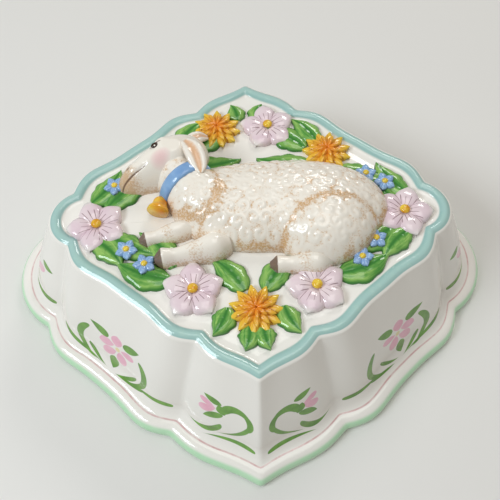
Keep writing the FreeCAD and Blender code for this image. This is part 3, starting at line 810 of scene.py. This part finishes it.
def body_grid(sides, pitch, depth):
    """Lamb's body as rows of points about its centre: over the fleece from the middle to the edge,
    along the sole to the hollow, and up inside to the middle again. The glaze is told the creases
    between the parts, the low places and the grooves between the locks."""
    turns = np.linspace(0, 2 * np.pi, sides, endpoint=False)
    share = np.sin(np.linspace(0.01, 1, 100) * np.pi / 2)[:, None]
    x, y = polar_rows(body_height, LAMB_CENTRE, turns, BODY_LIMIT, share)
    parts = body_parts(x, y)
    height = joined(parts, BODY_SHARPNESS)
    fleece = curls(x, y, curl_centres(pitch), pitch * 0.78)
    fade = np.clip(height / 6, 0, 1)
    top = height + depth * (fleece - 0.8) * fade * np.clip((1 - share) * 9, 0, 1)
    top[-1] = SOLE
    second, first = np.sort(np.stack(parts), axis=0)[-2:]
    crease = bell_curve(first - second, 1.6) * np.clip(second / 5, 0, 1)
    groove = np.clip(1 - fleece * 1.15, 0, 1) * fade
    outside = np.stack([x, y, top + FIELD, crease, bell_curve(height, 7.0), groove], -1)
    inward = np.linspace(1, 0.02, 26)[:, None]
    inner_x, inner_y = polar_rows(hollow_height, LAMB_CENTRE, turns, HOLLOW_LIMIT, inward)
    ceiling = hollow_height(inner_x, inner_y)
    ceiling[0] = SOLE
    return np.concatenate([outside, stacked(inner_x, inner_y, ceiling + FIELD, 0, 0, 0)])[None]


def head_place(ahead, aside):
    """Plan place from millimetres along the muzzle and towards the forehead."""
    return HEAD_ROOT + HEAD_AXIS * ahead + HEAD_SIDE * aside


def head_grid():
    """Lamb's head: a long mound with a fuller cheek, brow and snout, cut by the line of the mouth,
    the nostril and the socket of the eye. The glaze is told the place on the head and the height."""
    centre = head_place(9.0, 0.0)
    swells = [np.array([[*head_place(*place), half, tall]]) for place, half, tall in HEAD_SWELLS]

    def height(x, y):
        return joined([mound(x, y, HEAD), *(balls(x, y, swell) for swell in swells)], HEAD_SHARPNESS)

    turns = np.linspace(0, 2 * np.pi, 260, endpoint=False)
    share = np.sin(np.linspace(0.012, 1, 64) * np.pi / 2)[:, None]
    x, y = polar_rows(height, centre, turns, HEAD_LIMIT, share)
    x0, y0 = HEAD_ROOT
    ahead, aside = ((x - x0) * axis[0] + (y - y0) * axis[1] for axis in (HEAD_AXIS, HEAD_SIDE))
    line = aside - MOUTH_ASIDE - 0.35 * np.cos((ahead - 20) / 3.0)
    mouth = bell_curve(line, 0.45) * np.clip((ahead - 18.5) / 3, 0, 1)
    nostril = bell_curve(ahead - NOSTRIL_PLACE[0], 1.0) * bell_curve(aside - NOSTRIL_PLACE[1], 0.7)
    socket = bell_curve(ahead - EYE_PLACE[0], 3.0) * bell_curve(aside - EYE_PLACE[1] - 0.2, 2.3)
    top = np.minimum(height(x, y) - 0.55 * mouth - 0.7 * nostril - 0.55 * socket, LAMB_HEIGHT)
    top[-1] = SOLE
    outside = np.stack([x, y, top + FIELD, ahead, aside, top], -1)
    sole = outside[-1:].copy()
    sole[..., :2] = sole[..., :2] * 0.4 + centre * 0.6
    return np.concatenate([outside, sole])[None]


def band_rings():
    """Band over the neck: a flat oval carried along a half ellipse across the neck."""
    heading = np.radians(BAND_HEADING)
    ahead = np.array((np.cos(heading), np.sin(heading), 0))
    across = np.array((-np.sin(heading), np.cos(heading), 0))
    turn = np.linspace(0.0, np.pi, 44)[:, None]
    root = np.array((*(np.array(BAND_PLACE) * LAMB_LENGTH), FIELD))
    path = root + across * BAND_HALF * np.cos(turn) + UP * BAND_TALL * np.sin(turn)
    out = across * BAND_TALL * np.cos(turn) + UP * BAND_HALF * np.sin(turn)
    out /= np.linalg.norm(out, axis=1)[:, None]
    cos, sin = circle(14)
    oval_x = np.sign(cos) * np.abs(cos) ** 0.6 * BAND_WIDTH / 2
    oval_y = np.sign(sin) * np.abs(sin) ** 0.8 * BAND_RISE
    return (path[:, None] + ahead * oval_x[:, None] + out[:, None] * oval_y[:, None])[None]


def bell_rings():
    """Small bell hanging from the band: circles whose radius flares towards the mouth."""
    path = flowing(np.array(BELL) * LAMB_LENGTH, 8)
    axis = path[-1, :2] - path[0, :2]
    axis = axis / np.linalg.norm(axis)
    across = np.array((-axis[1], axis[0], 0))
    cos, sin = circle(28)
    radius = path[:, 2:3] / 2
    centre = np.column_stack([path[:, :2], np.full(len(path), FIELD + BELL_LEVEL)])
    return (centre[:, None] + across * (radius * cos)[..., None] + UP * (radius * sin)[..., None])[None]


def painted_inside(gap):
    """Paint coverage from a signed distance in millimetres, positive inside."""
    return gap.ramp(-SOFT_EDGE, SOFT_EDGE)


def brush_width(share, half, full):
    """Half width of a brush mark along its length: two powers with the peak at the given share."""
    first, second = full * 1.5, (1 - full) * 1.5
    peak = full**first * (1 - full) ** second
    return (share | 0) ** first * ((1 - share) | 0) ** second * ((half + BLUNT_END) / peak) - BLUNT_END


def leaf_mark(along, climb, root, tip, half, bow, full):
    """Brush mark from root to tip, bowed to the left, fullest at the given share of its length."""
    run = np.subtract(tip, root)
    size = float(np.hypot(*run))
    ahead, aside = run / size
    x, y = along - root[0], climb - root[1]
    share = (x * ahead + y * aside) * (1 / size)
    across = abs((y * ahead - x * aside) - share * (1 - share) * (4 * bow))
    return painted_inside(brush_width(share, half, full) - across)


def scroll_mark(along, climb, centre, radius, start, turn, half, full, growth):
    """Brush mark round a centre from one angle by a turn in degrees, on a radius that grows."""
    x, y = along - centre[0], climb - centre[1]
    lap = (y.bearing(x) - math.radians(start)) * (math.copysign(1, turn) / (2 * math.pi))
    share = ((lap + LEAD_IN).fraction() - LEAD_IN) * (360 / abs(turn))
    across = abs((x * x + y * y).root() - (share * growth + radius))
    return painted_inside(brush_width(share, half, full) - across - share.over(1.0, 0.001) * 9)


def dot_mark(along, climb, centre, radius):
    """Round dot of paint."""
    return painted_inside(radius - oval(along, climb, centre).root())


def painted(along, climb, kind, lean):
    """Green, pink and yellow coverage of the painted sprays of the three kinds of panel; where lean
    is 1 the hand has set the flowers, sprays and buds a little further on, up or down."""
    on_tip, on_long, on_lobe = kind.under(0.5, 0.01), kind.within(0.5, 1.5, 0.01), kind.over(1.5, 0.01)
    flower, spray, bud = (
        (along - lean * on, climb - lean * up) for on, up in (FLOWER_SHIFT, SPRAY_SHIFT, BUD_SHIFT)
    )

    def strokes(mark, rows, place=(along, climb)):
        return [mark(*place, *row) for row in rows]

    def covered(panel, marks):
        total = marks[0]
        for mark in marks[1:]:
            total = total | mark
        return total * panel

    long_green = strokes(leaf_mark, LONG_LEAVES) + strokes(scroll_mark, LONG_SCROLLS)
    tip_green = strokes(leaf_mark, TIP_LEAVES, spray) + strokes(scroll_mark, TIP_SCROLLS, spray)
    green = covered(on_long, long_green + strokes(leaf_mark, LONG_CALYX, flower))
    green = green | covered(on_tip, tip_green + strokes(leaf_mark, TIP_CALYX, bud))
    green = green | covered(on_lobe, strokes(leaf_mark, LOBE_LEAVES))
    pink = covered(on_long, strokes(leaf_mark, LONG_PETALS, flower))
    pink = pink | covered(on_tip, strokes(leaf_mark, TIP_PETALS))
    pink = pink | covered(on_lobe, strokes(leaf_mark, LOBE_PETALS))
    yellow = dot_mark(*flower, LONG_DOT, LONG_DOT_RADIUS) * on_long
    return green, pink, yellow | dot_mark(along, climb, LOBE_DOT, LOBE_DOT_RADIUS) * on_lobe


def body_glaze(colours, sizes, sole, bead):
    """White glaze with a green band and a pink line round the foot, an aqua bead and painted sides.
    The sole and the two edges of the bead are given as ways up the section from the pink line."""
    shader = Glaze("body_glaze")
    along, climb, kind = shader.layer("panel")
    level = climb + (shader.noise(42.0, 2.0) - 0.5) * 0.7
    brush = shader.noise(210.0, 3.0, 0.6)
    cloud = shader.noise(9.0, 2.0).ramp(0.35, 0.7, 0, 0.5)
    look = shader.mix(cloud, colours.white, toned(colours.white, 0.96, 0.965, 0.97))
    lean = shader.axes(shader.place())[0].over(0.0, 0.001)
    green, pink, yellow = painted(along + (shader.noise(55.0, 1.0, 0.5) - 0.5) * 0.9, level, kind, lean)
    deep, fresh = toned(colours.scroll_green, 0.60, 0.70, 0.50), toned(colours.scroll_green, 1.15, 1.08, 1.2)
    blush = toned(colours.spray_pink, 1.08, 1.35, 1.25)
    look = shader.mix(pink * 0.85, look, shader.mix(brush.ramp(0.3, 0.7), colours.spray_pink, blush))
    look = shader.mix(green * 0.95, look, shader.mix(brush.ramp(0.35, 0.68), deep, fresh))
    look = shader.mix(yellow * 0.6, look, colours.dot_yellow)
    thin = sizes.pink_line / MM / 2
    line = (level + 1.0).within(-thin, thin, 0.3) * brush.ramp(0.3, 0.62, 0.35, 0.85)
    look = shader.mix(line, look, colours.rose_line)
    band = level.within(sole, -sizes.edge_band / MM, 1.1) * brush.ramp(0.2, 0.6, 0.84, 1.0)
    look = shader.mix(band, look, colours.mint)
    low, high = bead
    bead_paint = (level.over(low, 0.25) & level.under(high, 0.55)) * brush.ramp(0.2, 0.55, 0.86, 1.0)
    shades = toned(colours.aqua, 0.90, 0.95, 0.98), toned(colours.aqua, 1.12, 1.06, 1.04)
    # Darker aqua along both edges of the bead: paint pooled at the edges, and on the wider inner slope down to
    # the field also painted shade
    pooled_paint_and_shade = level.under(low + 0.7, 0.5) | level.over(high - 1.6, 0.9)
    aqua = shader.mix(brush.ramp(0.35, 0.7), *shades)
    aqua = shader.mix(pooled_paint_and_shade * 0.55, aqua, toned(colours.aqua, 0.70, 0.80, 0.84))
    return shader.finish(shader.mix(bead_paint, look, aqua), depth=0.00022)


def fleece_glaze(colours):
    """Cream glaze with tan stipple in the creases, low on the sides and between the locks."""
    shader = Glaze("fleece_glaze")
    crease, low, groove = shader.layer()
    stipple = shader.stipple()
    amount = crease * 0.62 + low * 0.46 + groove * 0.72
    amount = amount * shader.noise(70.0, 2.0, 0.5).ramp(0.3, 0.7, 0.5, 1.25)
    mask = ((amount & 0.60) + (stipple - 0.5) * 1.3).ramp(0.36, 0.70)
    look = shader.mix(mask * 0.85, colours.cream, colours.tan)
    look = shader.mix(amount.ramp(0.1, 1.0, 0, 0.30), look, toned(colours.tan, 1.15, 1.2, 1.25))
    return shader.finish(look, bump=stipple * 0.2, depth=0.00025, gloss=0.07)


def skin_glaze(colours):
    """Cream glaze of the head with a tan muzzle and brow, painted mouth, nostril, lid and blush."""
    shader = Glaze("skin_glaze")
    ahead, aside, top = shader.layer()
    stipple = shader.stipple()
    muzzle = ahead.ramp(20.0, 29.0) * 0.75
    brow = oval(ahead, aside, (1.0, 6.5), (0.05, 0.09)).ramp(0, 1.0, 0.6, 0)
    edge = top.ramp(2.0, 8.5, 0.62, 0)
    mask = ((muzzle | brow | edge) + (stipple - 0.5)).ramp(0.30, 0.72)
    look = shader.mix(mask * 0.75, colours.cream, colours.tan)
    blush = oval(ahead, aside, (12.5, -3.6), (0.035, 0.06)).ramp(0, 1.0, 0.42, 0)
    look = shader.mix(blush, look, toned(colours.spray_pink, 1.0, 0.9, 0.8))
    line = aside - MOUTH_ASIDE + shader.noise(200.0) * 0.2 - 0.1
    mouth = painted_inside(0.30 - abs(line)) * ahead.over(19.5, 0.4)
    nostril = oval(ahead, aside, NOSTRIL_PLACE, (0.9, 2.2)).ramp(0.5, 1.2, 0.9, 0)
    ring = oval(ahead, aside, (EYE_PLACE[0], 2.2), (0.8, 1.0)).root() - 2.75
    lid = painted_inside(0.26 - abs(ring)) * aside.over(3.5, 0.3)
    look = shader.mix((mouth | nostril | lid) * 0.85, look, colours.hoof)
    return shader.finish(look, bump=stipple * 0.1, depth=0.00022, gloss=0.06)


def limb_glaze(colours):
    """Cream glaze of legs and tail: tan stipple low down and at the knee, and a brown hoof."""
    shader = Glaze("limb_glaze")
    reach, _, lift = shader.layer()
    stipple = shader.stipple()
    from_knee = reach - 0.42
    knee = (from_knee * from_knee * 60.0).ramp(0, 1, 0.42, 0)
    low = lift.ramp(0.05, 0.85, 0.72, 0.08) | knee
    mask = ((low & 0.6) + (stipple - 0.5) * 1.25).ramp(0.34, 0.72)
    look = shader.mix(mask * 0.78, colours.cream, colours.tan)
    hoof = (reach - shader.attribute("hoof")).over(0.0, 0.012)
    look = shader.mix(hoof * 0.9, look, colours.hoof)
    return shader.finish(look, bump=stipple * 0.15, depth=0.00022, gloss=0.07)


def ear_glaze(colours):
    """Cream ear, pink and stippled along its dished middle, with a tan rim."""
    shader = Glaze("ear_glaze")
    _, across, lift = shader.layer()
    grain = shader.stipple() - 0.5
    aside = across * across
    middle = aside.ramp(0.0, 0.30, 0.85, 0) * lift.over(0.3, 0.2)
    warm = toned(colours.tan, 1.25, 1.12, 1.2)
    look = shader.mix((middle + grain * 0.5).ramp(0.2, 0.8, 0, 0.75), colours.cream, warm)
    rim = aside.ramp(0.55, 1.0, 0, 0.5)
    look = shader.mix((rim + grain * 0.6).ramp(0.2, 0.8, 0, 0.7), look, colours.tan)
    return shader.finish(look, gloss=0.06)


def eye_glaze(colours):
    """Dark glaze with a painted highlight, a spot of white paint."""
    shader = Glaze("eye_glaze")
    ahead, aside, _ = shader.layer()
    # Painted highlight: a round spot of white paint off the middle of the dark eye
    painted_highlight = oval(ahead, aside, (0.5, 0.55)).root().ramp(0.30, 0.42, 1, 0)
    return shader.finish(shader.mix(painted_highlight, toned(colours.hoof, 0.28), colours.white), depth=0.0001)


def leaf_glaze(colours):
    """Green glaze that pools dark at the edges and in the veins and thins to pale on the ridges."""
    shader = Glaze("leaf_glaze")
    along, across, hue = shader.layer()
    wash = shader.noise(75.0, 3.0, 0.6)
    edge = abs(across)
    ribs = (along * (2 * math.pi * LEAF_VEINS) - edge * (2 * math.pi * VEIN_SWEEP) + 1.57).sine()
    lengthwise = shader.node("ShaderNodeCombineXYZ", {}, {0: along * 3.0 + hue * 31.0, 1: across * 5.0})
    strokes = shader.noise(1.0, 2.0, 0.6, lengthwise)
    pale = (wash * 0.5 + strokes * 0.5).ramp(0.38, 0.58) * edge.ramp(0.10, 0.45)
    look = shader.mix(pale * edge.ramp(0.78, 0.98, 1, 0), colours.leaf_mid, colours.leaf_light)
    veins = ribs.ramp(0.75, 1.0) * edge.ramp(0.0, 0.75, 0.55, 0)
    dark = edge.over(0.93, 0.10) | painted_inside(0.055 - edge) | veins
    dark = dark | (wash.ramp(0.52, 0.72) * along.ramp(0.0, 0.45, 0.8, 0.15))
    look = shader.mix(dark * 0.75, look, colours.leaf_dark)
    look = shader.mix(hue.ramp(0, 1, 0.0, 0.32), look, toned(colours.leaf_mid, 0.72, 0.86, 0.72))
    return shader.finish(look, bump=wash * 0.3, depth=0.0003)


def petal_glaze(name, pale, vein, radius, reach, middle=None, spread=0.5, rim=None):
    """Petals with fine lines fanning from the middle; reach gives where the lines start and end."""
    shader = Glaze(name)
    distance, aside, _ = shader.layer()
    wash = shader.noise(90.0, 3.0, 0.6)
    look = shader.mix(wash.ramp(0.35, 0.7, 0, 0.8), pale, toned(pale, 0.90, 0.80, 0.88))
    if rim is not None:
        outer = (distance + wash * (0.1 * radius)).ramp(0.80 * radius, 0.98 * radius, 0, 0.85)
        look = shader.mix(outer, look, rim)
    from_focus = distance + radius * 0.25
    fan = abs((aside / from_focus + 10.0).folded(0.12)) * from_focus
    lines = (fan + shader.noise(230.0, 1.0) * 0.35).ramp(0.22, 0.42, 1, 0)
    ragged = shader.noise(160.0, 1.0).ramp(0.3, 0.7, -0.10, 0.10) * radius + distance
    lines = lines * ragged.within(reach[0] * radius, reach[1] * radius, 0.03 * radius)
    look = shader.mix(lines * 0.80, look, vein)
    if middle is not None:
        inner = (distance + wash * (0.3 * radius)).ramp(0.20 * radius, spread * radius, 0.95, 0)
        look = shader.mix(inner, look, middle)
    return shader.finish(look)


def plain_glaze(name, first, second, scale=80.0):
    """Glaze of one colour that thickens and thins to a second."""
    shader = Glaze(name)
    return shader.finish(shader.mix(shader.noise(scale, 3.0, 0.6).ramp(0.35, 0.68), first, second))


def clear_of_hollow(points):
    """Points with those that would show in the hollow under the lamb lifted into the wall over it."""
    ceiling = hollow_height(points[:, 0], points[:, 1])
    lifted = np.where(ceiling > 0, np.maximum(points[:, 2], FIELD + ceiling + HOLLOW_COVER), points[:, 2])
    return np.column_stack([points[:, :2], lifted])


def add_forms(node, form, material, name=None, hoof=None):
    """Turns closed forms into one piece that stands for a node's solids, or adds to them."""
    numbers, faces = closed_forms(form)
    points, attributes = numbers[:, :3], {}
    if node != "lamb_body":
        points = clear_of_hollow(points)
    if numbers.shape[1] > 3:
        attributes["shade"] = numbers[:, 3:]
    if hoof is not None:
        attributes["hoof"] = np.full(len(points), hoof)
    make_piece(name or node + "_glazed", points, faces, [node] if node else [], material, attributes)


def chosen(context):
    return context.scene.mould_sizes, context.scene.mould_colours


class MOULD_OT_body(bpy.types.Operator):
    """Add the bracket-shaped body with its foot, walls, bead and hollow"""

    bl_idname = "mould.body"
    bl_label = "Body"

    def execute(self, context):
        sizes, colours = chosen(context)
        profile, outer, climb = mould_section()
        points, order, panels = mould_grid(profile)
        quads, corner = mould_faces(order, panels, climb)
        flare, inset, height = profile[:, :3].T
        sole = climb[nearest(height, MINT_HEIGHT, outer & (flare > FOOT_FLARE))]
        top = outer & (height > FIELD - 0.5)
        bead = [climb[nearest(inset, edge, top)] for edge in (sizes.bead_line / MM, BEAD_INSET)]
        points = points.reshape(-1, 3)
        if inside_out(points, quads):
            quads = quads[:, ::-1]
            corner = corner.reshape(-1, 4, 3)[:, ::-1].reshape(-1, 3)
        material = body_glaze(colours, sizes, sole, bead)
        make_piece("mould_body", points, [quads], ["mould_shell"], material, {"panel": corner})
        return {"FINISHED"}


class MOULD_OT_lamb(bpy.types.Operator):
    """Add the resting lamb: body, head, legs, tail and ears"""

    bl_idname = "mould.lamb"
    bl_label = "Lamb"

    def execute(self, context):
        sizes, colours = chosen(context)
        fleece = body_grid(sizes.lamb_sides, sizes.curl_pitch / MM, sizes.curl_depth / MM)
        add_forms("lamb_body", fleece, fleece_glaze(colours), "lamb_fleece")
        add_forms("lamb_head", head_grid(), skin_glaze(colours), "lamb_face")
        skin = limb_glaze(colours)
        for node, (hoof, rows) in LIMBS.items():
            add_forms(node, limb_rings(rows, hoof), skin, hoof=hoof)
        ear_skin = ear_glaze(colours)
        for node, rows in EARS.items():
            add_forms(node, ear_rings(rows), ear_skin)
        return {"FINISHED"}


class MOULD_OT_eye(bpy.types.Operator):
    """Add the lamb's eye, a low dark button with a painted highlight, a spot of light paint"""

    bl_idname = "mould.eye"
    bl_label = "Eye"

    def execute(self, context):
        ahead, aside, height = np.moveaxis(dome_rings(1.0, 1.0, rows=10, around=28), -1, 0)
        ahead, aside = ahead * EYE_HALVES[0], aside * EYE_HALVES[1]
        x, y = head_place(*EYE_PLACE)
        cos, sin = HEAD_AXIS
        x, y = ahead * cos - aside * sin + x, ahead * sin + aside * cos + y
        form = stacked(x, y, height + EYE_LEVEL + FIELD, ahead, aside, 0)
        add_forms(None, form, eye_glaze(context.scene.mould_colours), "lamb_eye")
        return {"FINISHED"}


class MOULD_OT_collar(bpy.types.Operator):
    """Add the plain band round the lamb's neck and its small bell"""

    bl_idname = "mould.collar"
    bl_label = "Neck band and bell"

    def execute(self, context):
        colours = context.scene.mould_colours
        band = plain_glaze("band_glaze", colours.blue, colours.blue_deep)
        add_forms("neck_band", band_rings(), band)
        brass = plain_glaze("bell_glaze", colours.yellow, toned(colours.orange, 1.0, 1.2, 1.0))
        add_forms("neck_bell", bell_rings(), brass)
        return {"FINISHED"}


class MOULD_OT_leaves(bpy.types.Operator):
    """Add the leaves of the wreath, one piece for each quarter of the field"""

    bl_idname = "mould.leaves"
    bl_label = "Leaves"

    def execute(self, context):
        sizes, colours = chosen(context)
        measures = [value / MM for value in (sizes.leaf_length, sizes.leaf_width, sizes.leaf_rise)]
        material = leaf_glaze(colours)
        for side, word in ((1, "right"), (-1, "left")):
            for part, picked in (("front", LEAF_ROWS[:, 1] < 0), ("back", LEAF_ROWS[:, 1] > 0)):
                form = leaf_rings(LEAF_ROWS[picked], *measures, sizes.leaf_bend, side)
                add_forms("leaves_" + part + "_" + word, form, material)
        return {"FINISHED"}


def add_daisies(sizes, colours):
    """Pink blossoms of five broad petals, each with a yellow button."""
    radius = sizes.daisy_radius / MM
    petals = petal_rings(radius, 5, width=radius * 1.10, rise=4.1, root=0.06, notch=0.10, turn=18, droop=0.45)
    pink = petal_glaze("pink_glaze", colours.petal, colours.vein, radius, (0.20, 0.52), rim=colours.white)
    form = scattered(petals, DAISY_PLACES, DAISY_SPINS)
    add_forms("daisies", form, pink)
    eye = plain_glaze("daisy_eye_glaze", colours.yellow, toned(colours.orange, 0.9, 1.35, 1.2), 420.0)
    form = scattered(dome_rings(2.35, 1.6, base=3.6), DAISY_PLACES)
    add_forms("daisy_eyes", form, eye)


def add_marigolds(sizes, colours):
    """Orange blossoms of three tiers of narrow petals."""
    radius = sizes.marigold_radius / MM
    tiers = []
    for share, count, rise, base, turn in MARIGOLD_TIERS:
        width = radius * share * 0.56
        tiers.append(petal_rings(radius * share, count, width, rise, 0.05, 0.05, turn, droop=0.35, base=base))
    form = scattered(np.concatenate(tiers), MARIGOLD_PLACES, MARIGOLD_SPINS)
    lines, middle = (0.16, 0.78), colours.orange
    orange = petal_glaze("orange_glaze", colours.yellow, colours.rust, radius, lines, middle, spread=1.05)
    add_forms("marigolds", form, orange)


def add_forget_me_nots(sizes, colours):
    """Small blue blossoms of five round petals, each with a yellow pip."""
    radius = sizes.forget_radius / MM
    petals = petal_rings(radius, 5, width=radius, rise=1.7, root=0.06, notch=0.04, rows=9, around=14, base=2.6)
    form = scattered(petals, FORGET_PLACES, FORGET_SPINS)
    sky = petal_glaze("blue_glaze", colours.blue, colours.blue_deep, radius, (0.25, 0.7), colours.white)
    add_forms("forget_me_nots", form, sky)
    core = plain_glaze("pip_glaze", colours.yellow, toned(colours.yellow, 0.8), 300.0)
    form = scattered(dome_rings(1.45, 1.0, rows=5, around=14, base=3.9), FORGET_PLACES)
    add_forms(None, form, core, "forget_me_not_pips")


class MOULD_OT_blossoms(bpy.types.Operator):
    """Add the pink, orange and blue blossoms of the wreath"""

    bl_idname = "mould.blossoms"
    bl_label = "Blossoms"

    def execute(self, context):
        for add in (add_daisies, add_marigolds, add_forget_me_nots):
            add(*chosen(context))
        return {"FINISHED"}


def add_floor(scene):
    """Plain pale floor that the mould stands on."""
    mesh = bpy.data.meshes.new("floor")
    corners = [(x * FLOOR_HALF, y * FLOOR_HALF, 0) for x, y in ((-1, -1), (1, -1), (1, 1), (-1, 1))]
    mesh.from_pydata(corners, [], [(0, 1, 2, 3)])
    shader = Glaze("floor_paper")
    paper = shader.mix(shader.noise(3.0, 2.0), srgb(226, 224, 220), srgb(222, 220, 217))
    mesh.materials.append(shader.surface({"Base Color": paper, "Roughness": 0.85}))
    floor = bpy.data.objects.new("floor", mesh)
    scene.collection.objects.link(floor)


def add_lamps(scene):
    """Warm dim room and soft lamps that all face the mould."""
    world = bpy.data.worlds.new("soft_room")
    world.use_nodes = True
    background = world.node_tree.nodes["Background"]
    background.inputs["Color"].default_value = ROOM_COLOUR
    background.inputs["Strength"].default_value = ROOM_STRENGTH
    scene.world = world
    for name, place, width, power, tint in LAMPS:
        lamp = bpy.data.lights.new(name, "AREA")
        lamp.shape = "RECTANGLE"
        lamp.size, lamp.size_y = width, width * 0.7
        lamp.energy, lamp.color = power, tint
        shone = bpy.data.objects.new(name, lamp)
        shone.location = place
        shone.rotation_euler = (LAMP_AIM - Vector(place)).to_track_quat("-Z", "Y").to_euler()
        scene.collection.objects.link(shone)


def add_camera(scene):
    """Camera that looks down on the mould from the front, turned and tilted a little."""
    level, depth = math.sin(VIEW_LIFT), math.cos(VIEW_LIFT)
    back = Vector((math.sin(VIEW_YAW) * depth, -math.cos(VIEW_YAW) * depth, level))
    right = Vector((math.cos(VIEW_YAW), math.sin(VIEW_YAW), 0))
    up = back.cross(right)
    cos, sin = math.cos(VIEW_ROLL), math.sin(VIEW_ROLL)
    right, up = right * cos + up * sin, up * cos - right * sin
    camera = bpy.data.cameras.new("camera")
    camera.sensor_width = SENSOR_WIDTH
    camera.lens = FOCAL_PIXELS / PICTURE_PIXELS * SENSOR_WIDTH
    camera.clip_start, camera.clip_end = 0.01, 20
    shot = bpy.data.objects.new("camera", camera)
    turn = Matrix((right, up, back)).transposed().to_4x4()
    turn.translation = back * VIEW_BACK + right * VIEW_RIGHT + up * VIEW_UP
    shot.matrix_world = turn
    scene.collection.objects.link(shot)
    scene.camera = shot


class MOULD_OT_stage(bpy.types.Operator):
    """Add the floor, the lamps and the camera"""

    bl_idname = "mould.stage"
    bl_label = "Stage"

    def execute(self, context):
        for add in (add_floor, add_lamps, add_camera):
            add(context.scene)
        context.scene.view_settings.view_transform = "Standard"
        return {"FINISHED"}


class MOULD_PT_panel(bpy.types.Panel):
    """Sizes, colours and pieces of the mould"""

    bl_idname = "MOULD_PT_panel"
    bl_label = "Jelly Mould"
    bl_space_type = "VIEW_3D"
    bl_region_type = "UI"
    bl_category = "Jelly Mould"

    def draw(self, context):
        for group in chosen(context):
            column = self.layout.column(align=True)
            for name in group.__annotations__:
                column.prop(group, name)
        column = self.layout.column(align=True)
        for operator in OPERATORS:
            column.operator(operator.bl_idname)


OPERATORS = (
    MOULD_OT_body, MOULD_OT_lamb, MOULD_OT_eye, MOULD_OT_collar,
    MOULD_OT_leaves, MOULD_OT_blossoms, MOULD_OT_stage,
)
CLASSES = (MouldSizes, MouldColours, *OPERATORS, MOULD_PT_panel)


def register():
    for cls in CLASSES:
        bpy.utils.register_class(cls)
    bpy.types.Scene.mould_sizes = PointerProperty(type=MouldSizes)
    bpy.types.Scene.mould_colours = PointerProperty(type=MouldColours)


def unregister():
    del bpy.types.Scene.mould_colours
    del bpy.types.Scene.mould_sizes
    for cls in reversed(CLASSES):
        bpy.utils.unregister_class(cls)


def main():
    register()
    bpy.ops.mould.body()
    bpy.ops.mould.lamb()
    bpy.ops.mould.eye()
    bpy.ops.mould.collar()
    bpy.ops.mould.leaves()
    bpy.ops.mould.blossoms()
    bpy.ops.mould.stage()


if __name__ == "__main__":
    main()
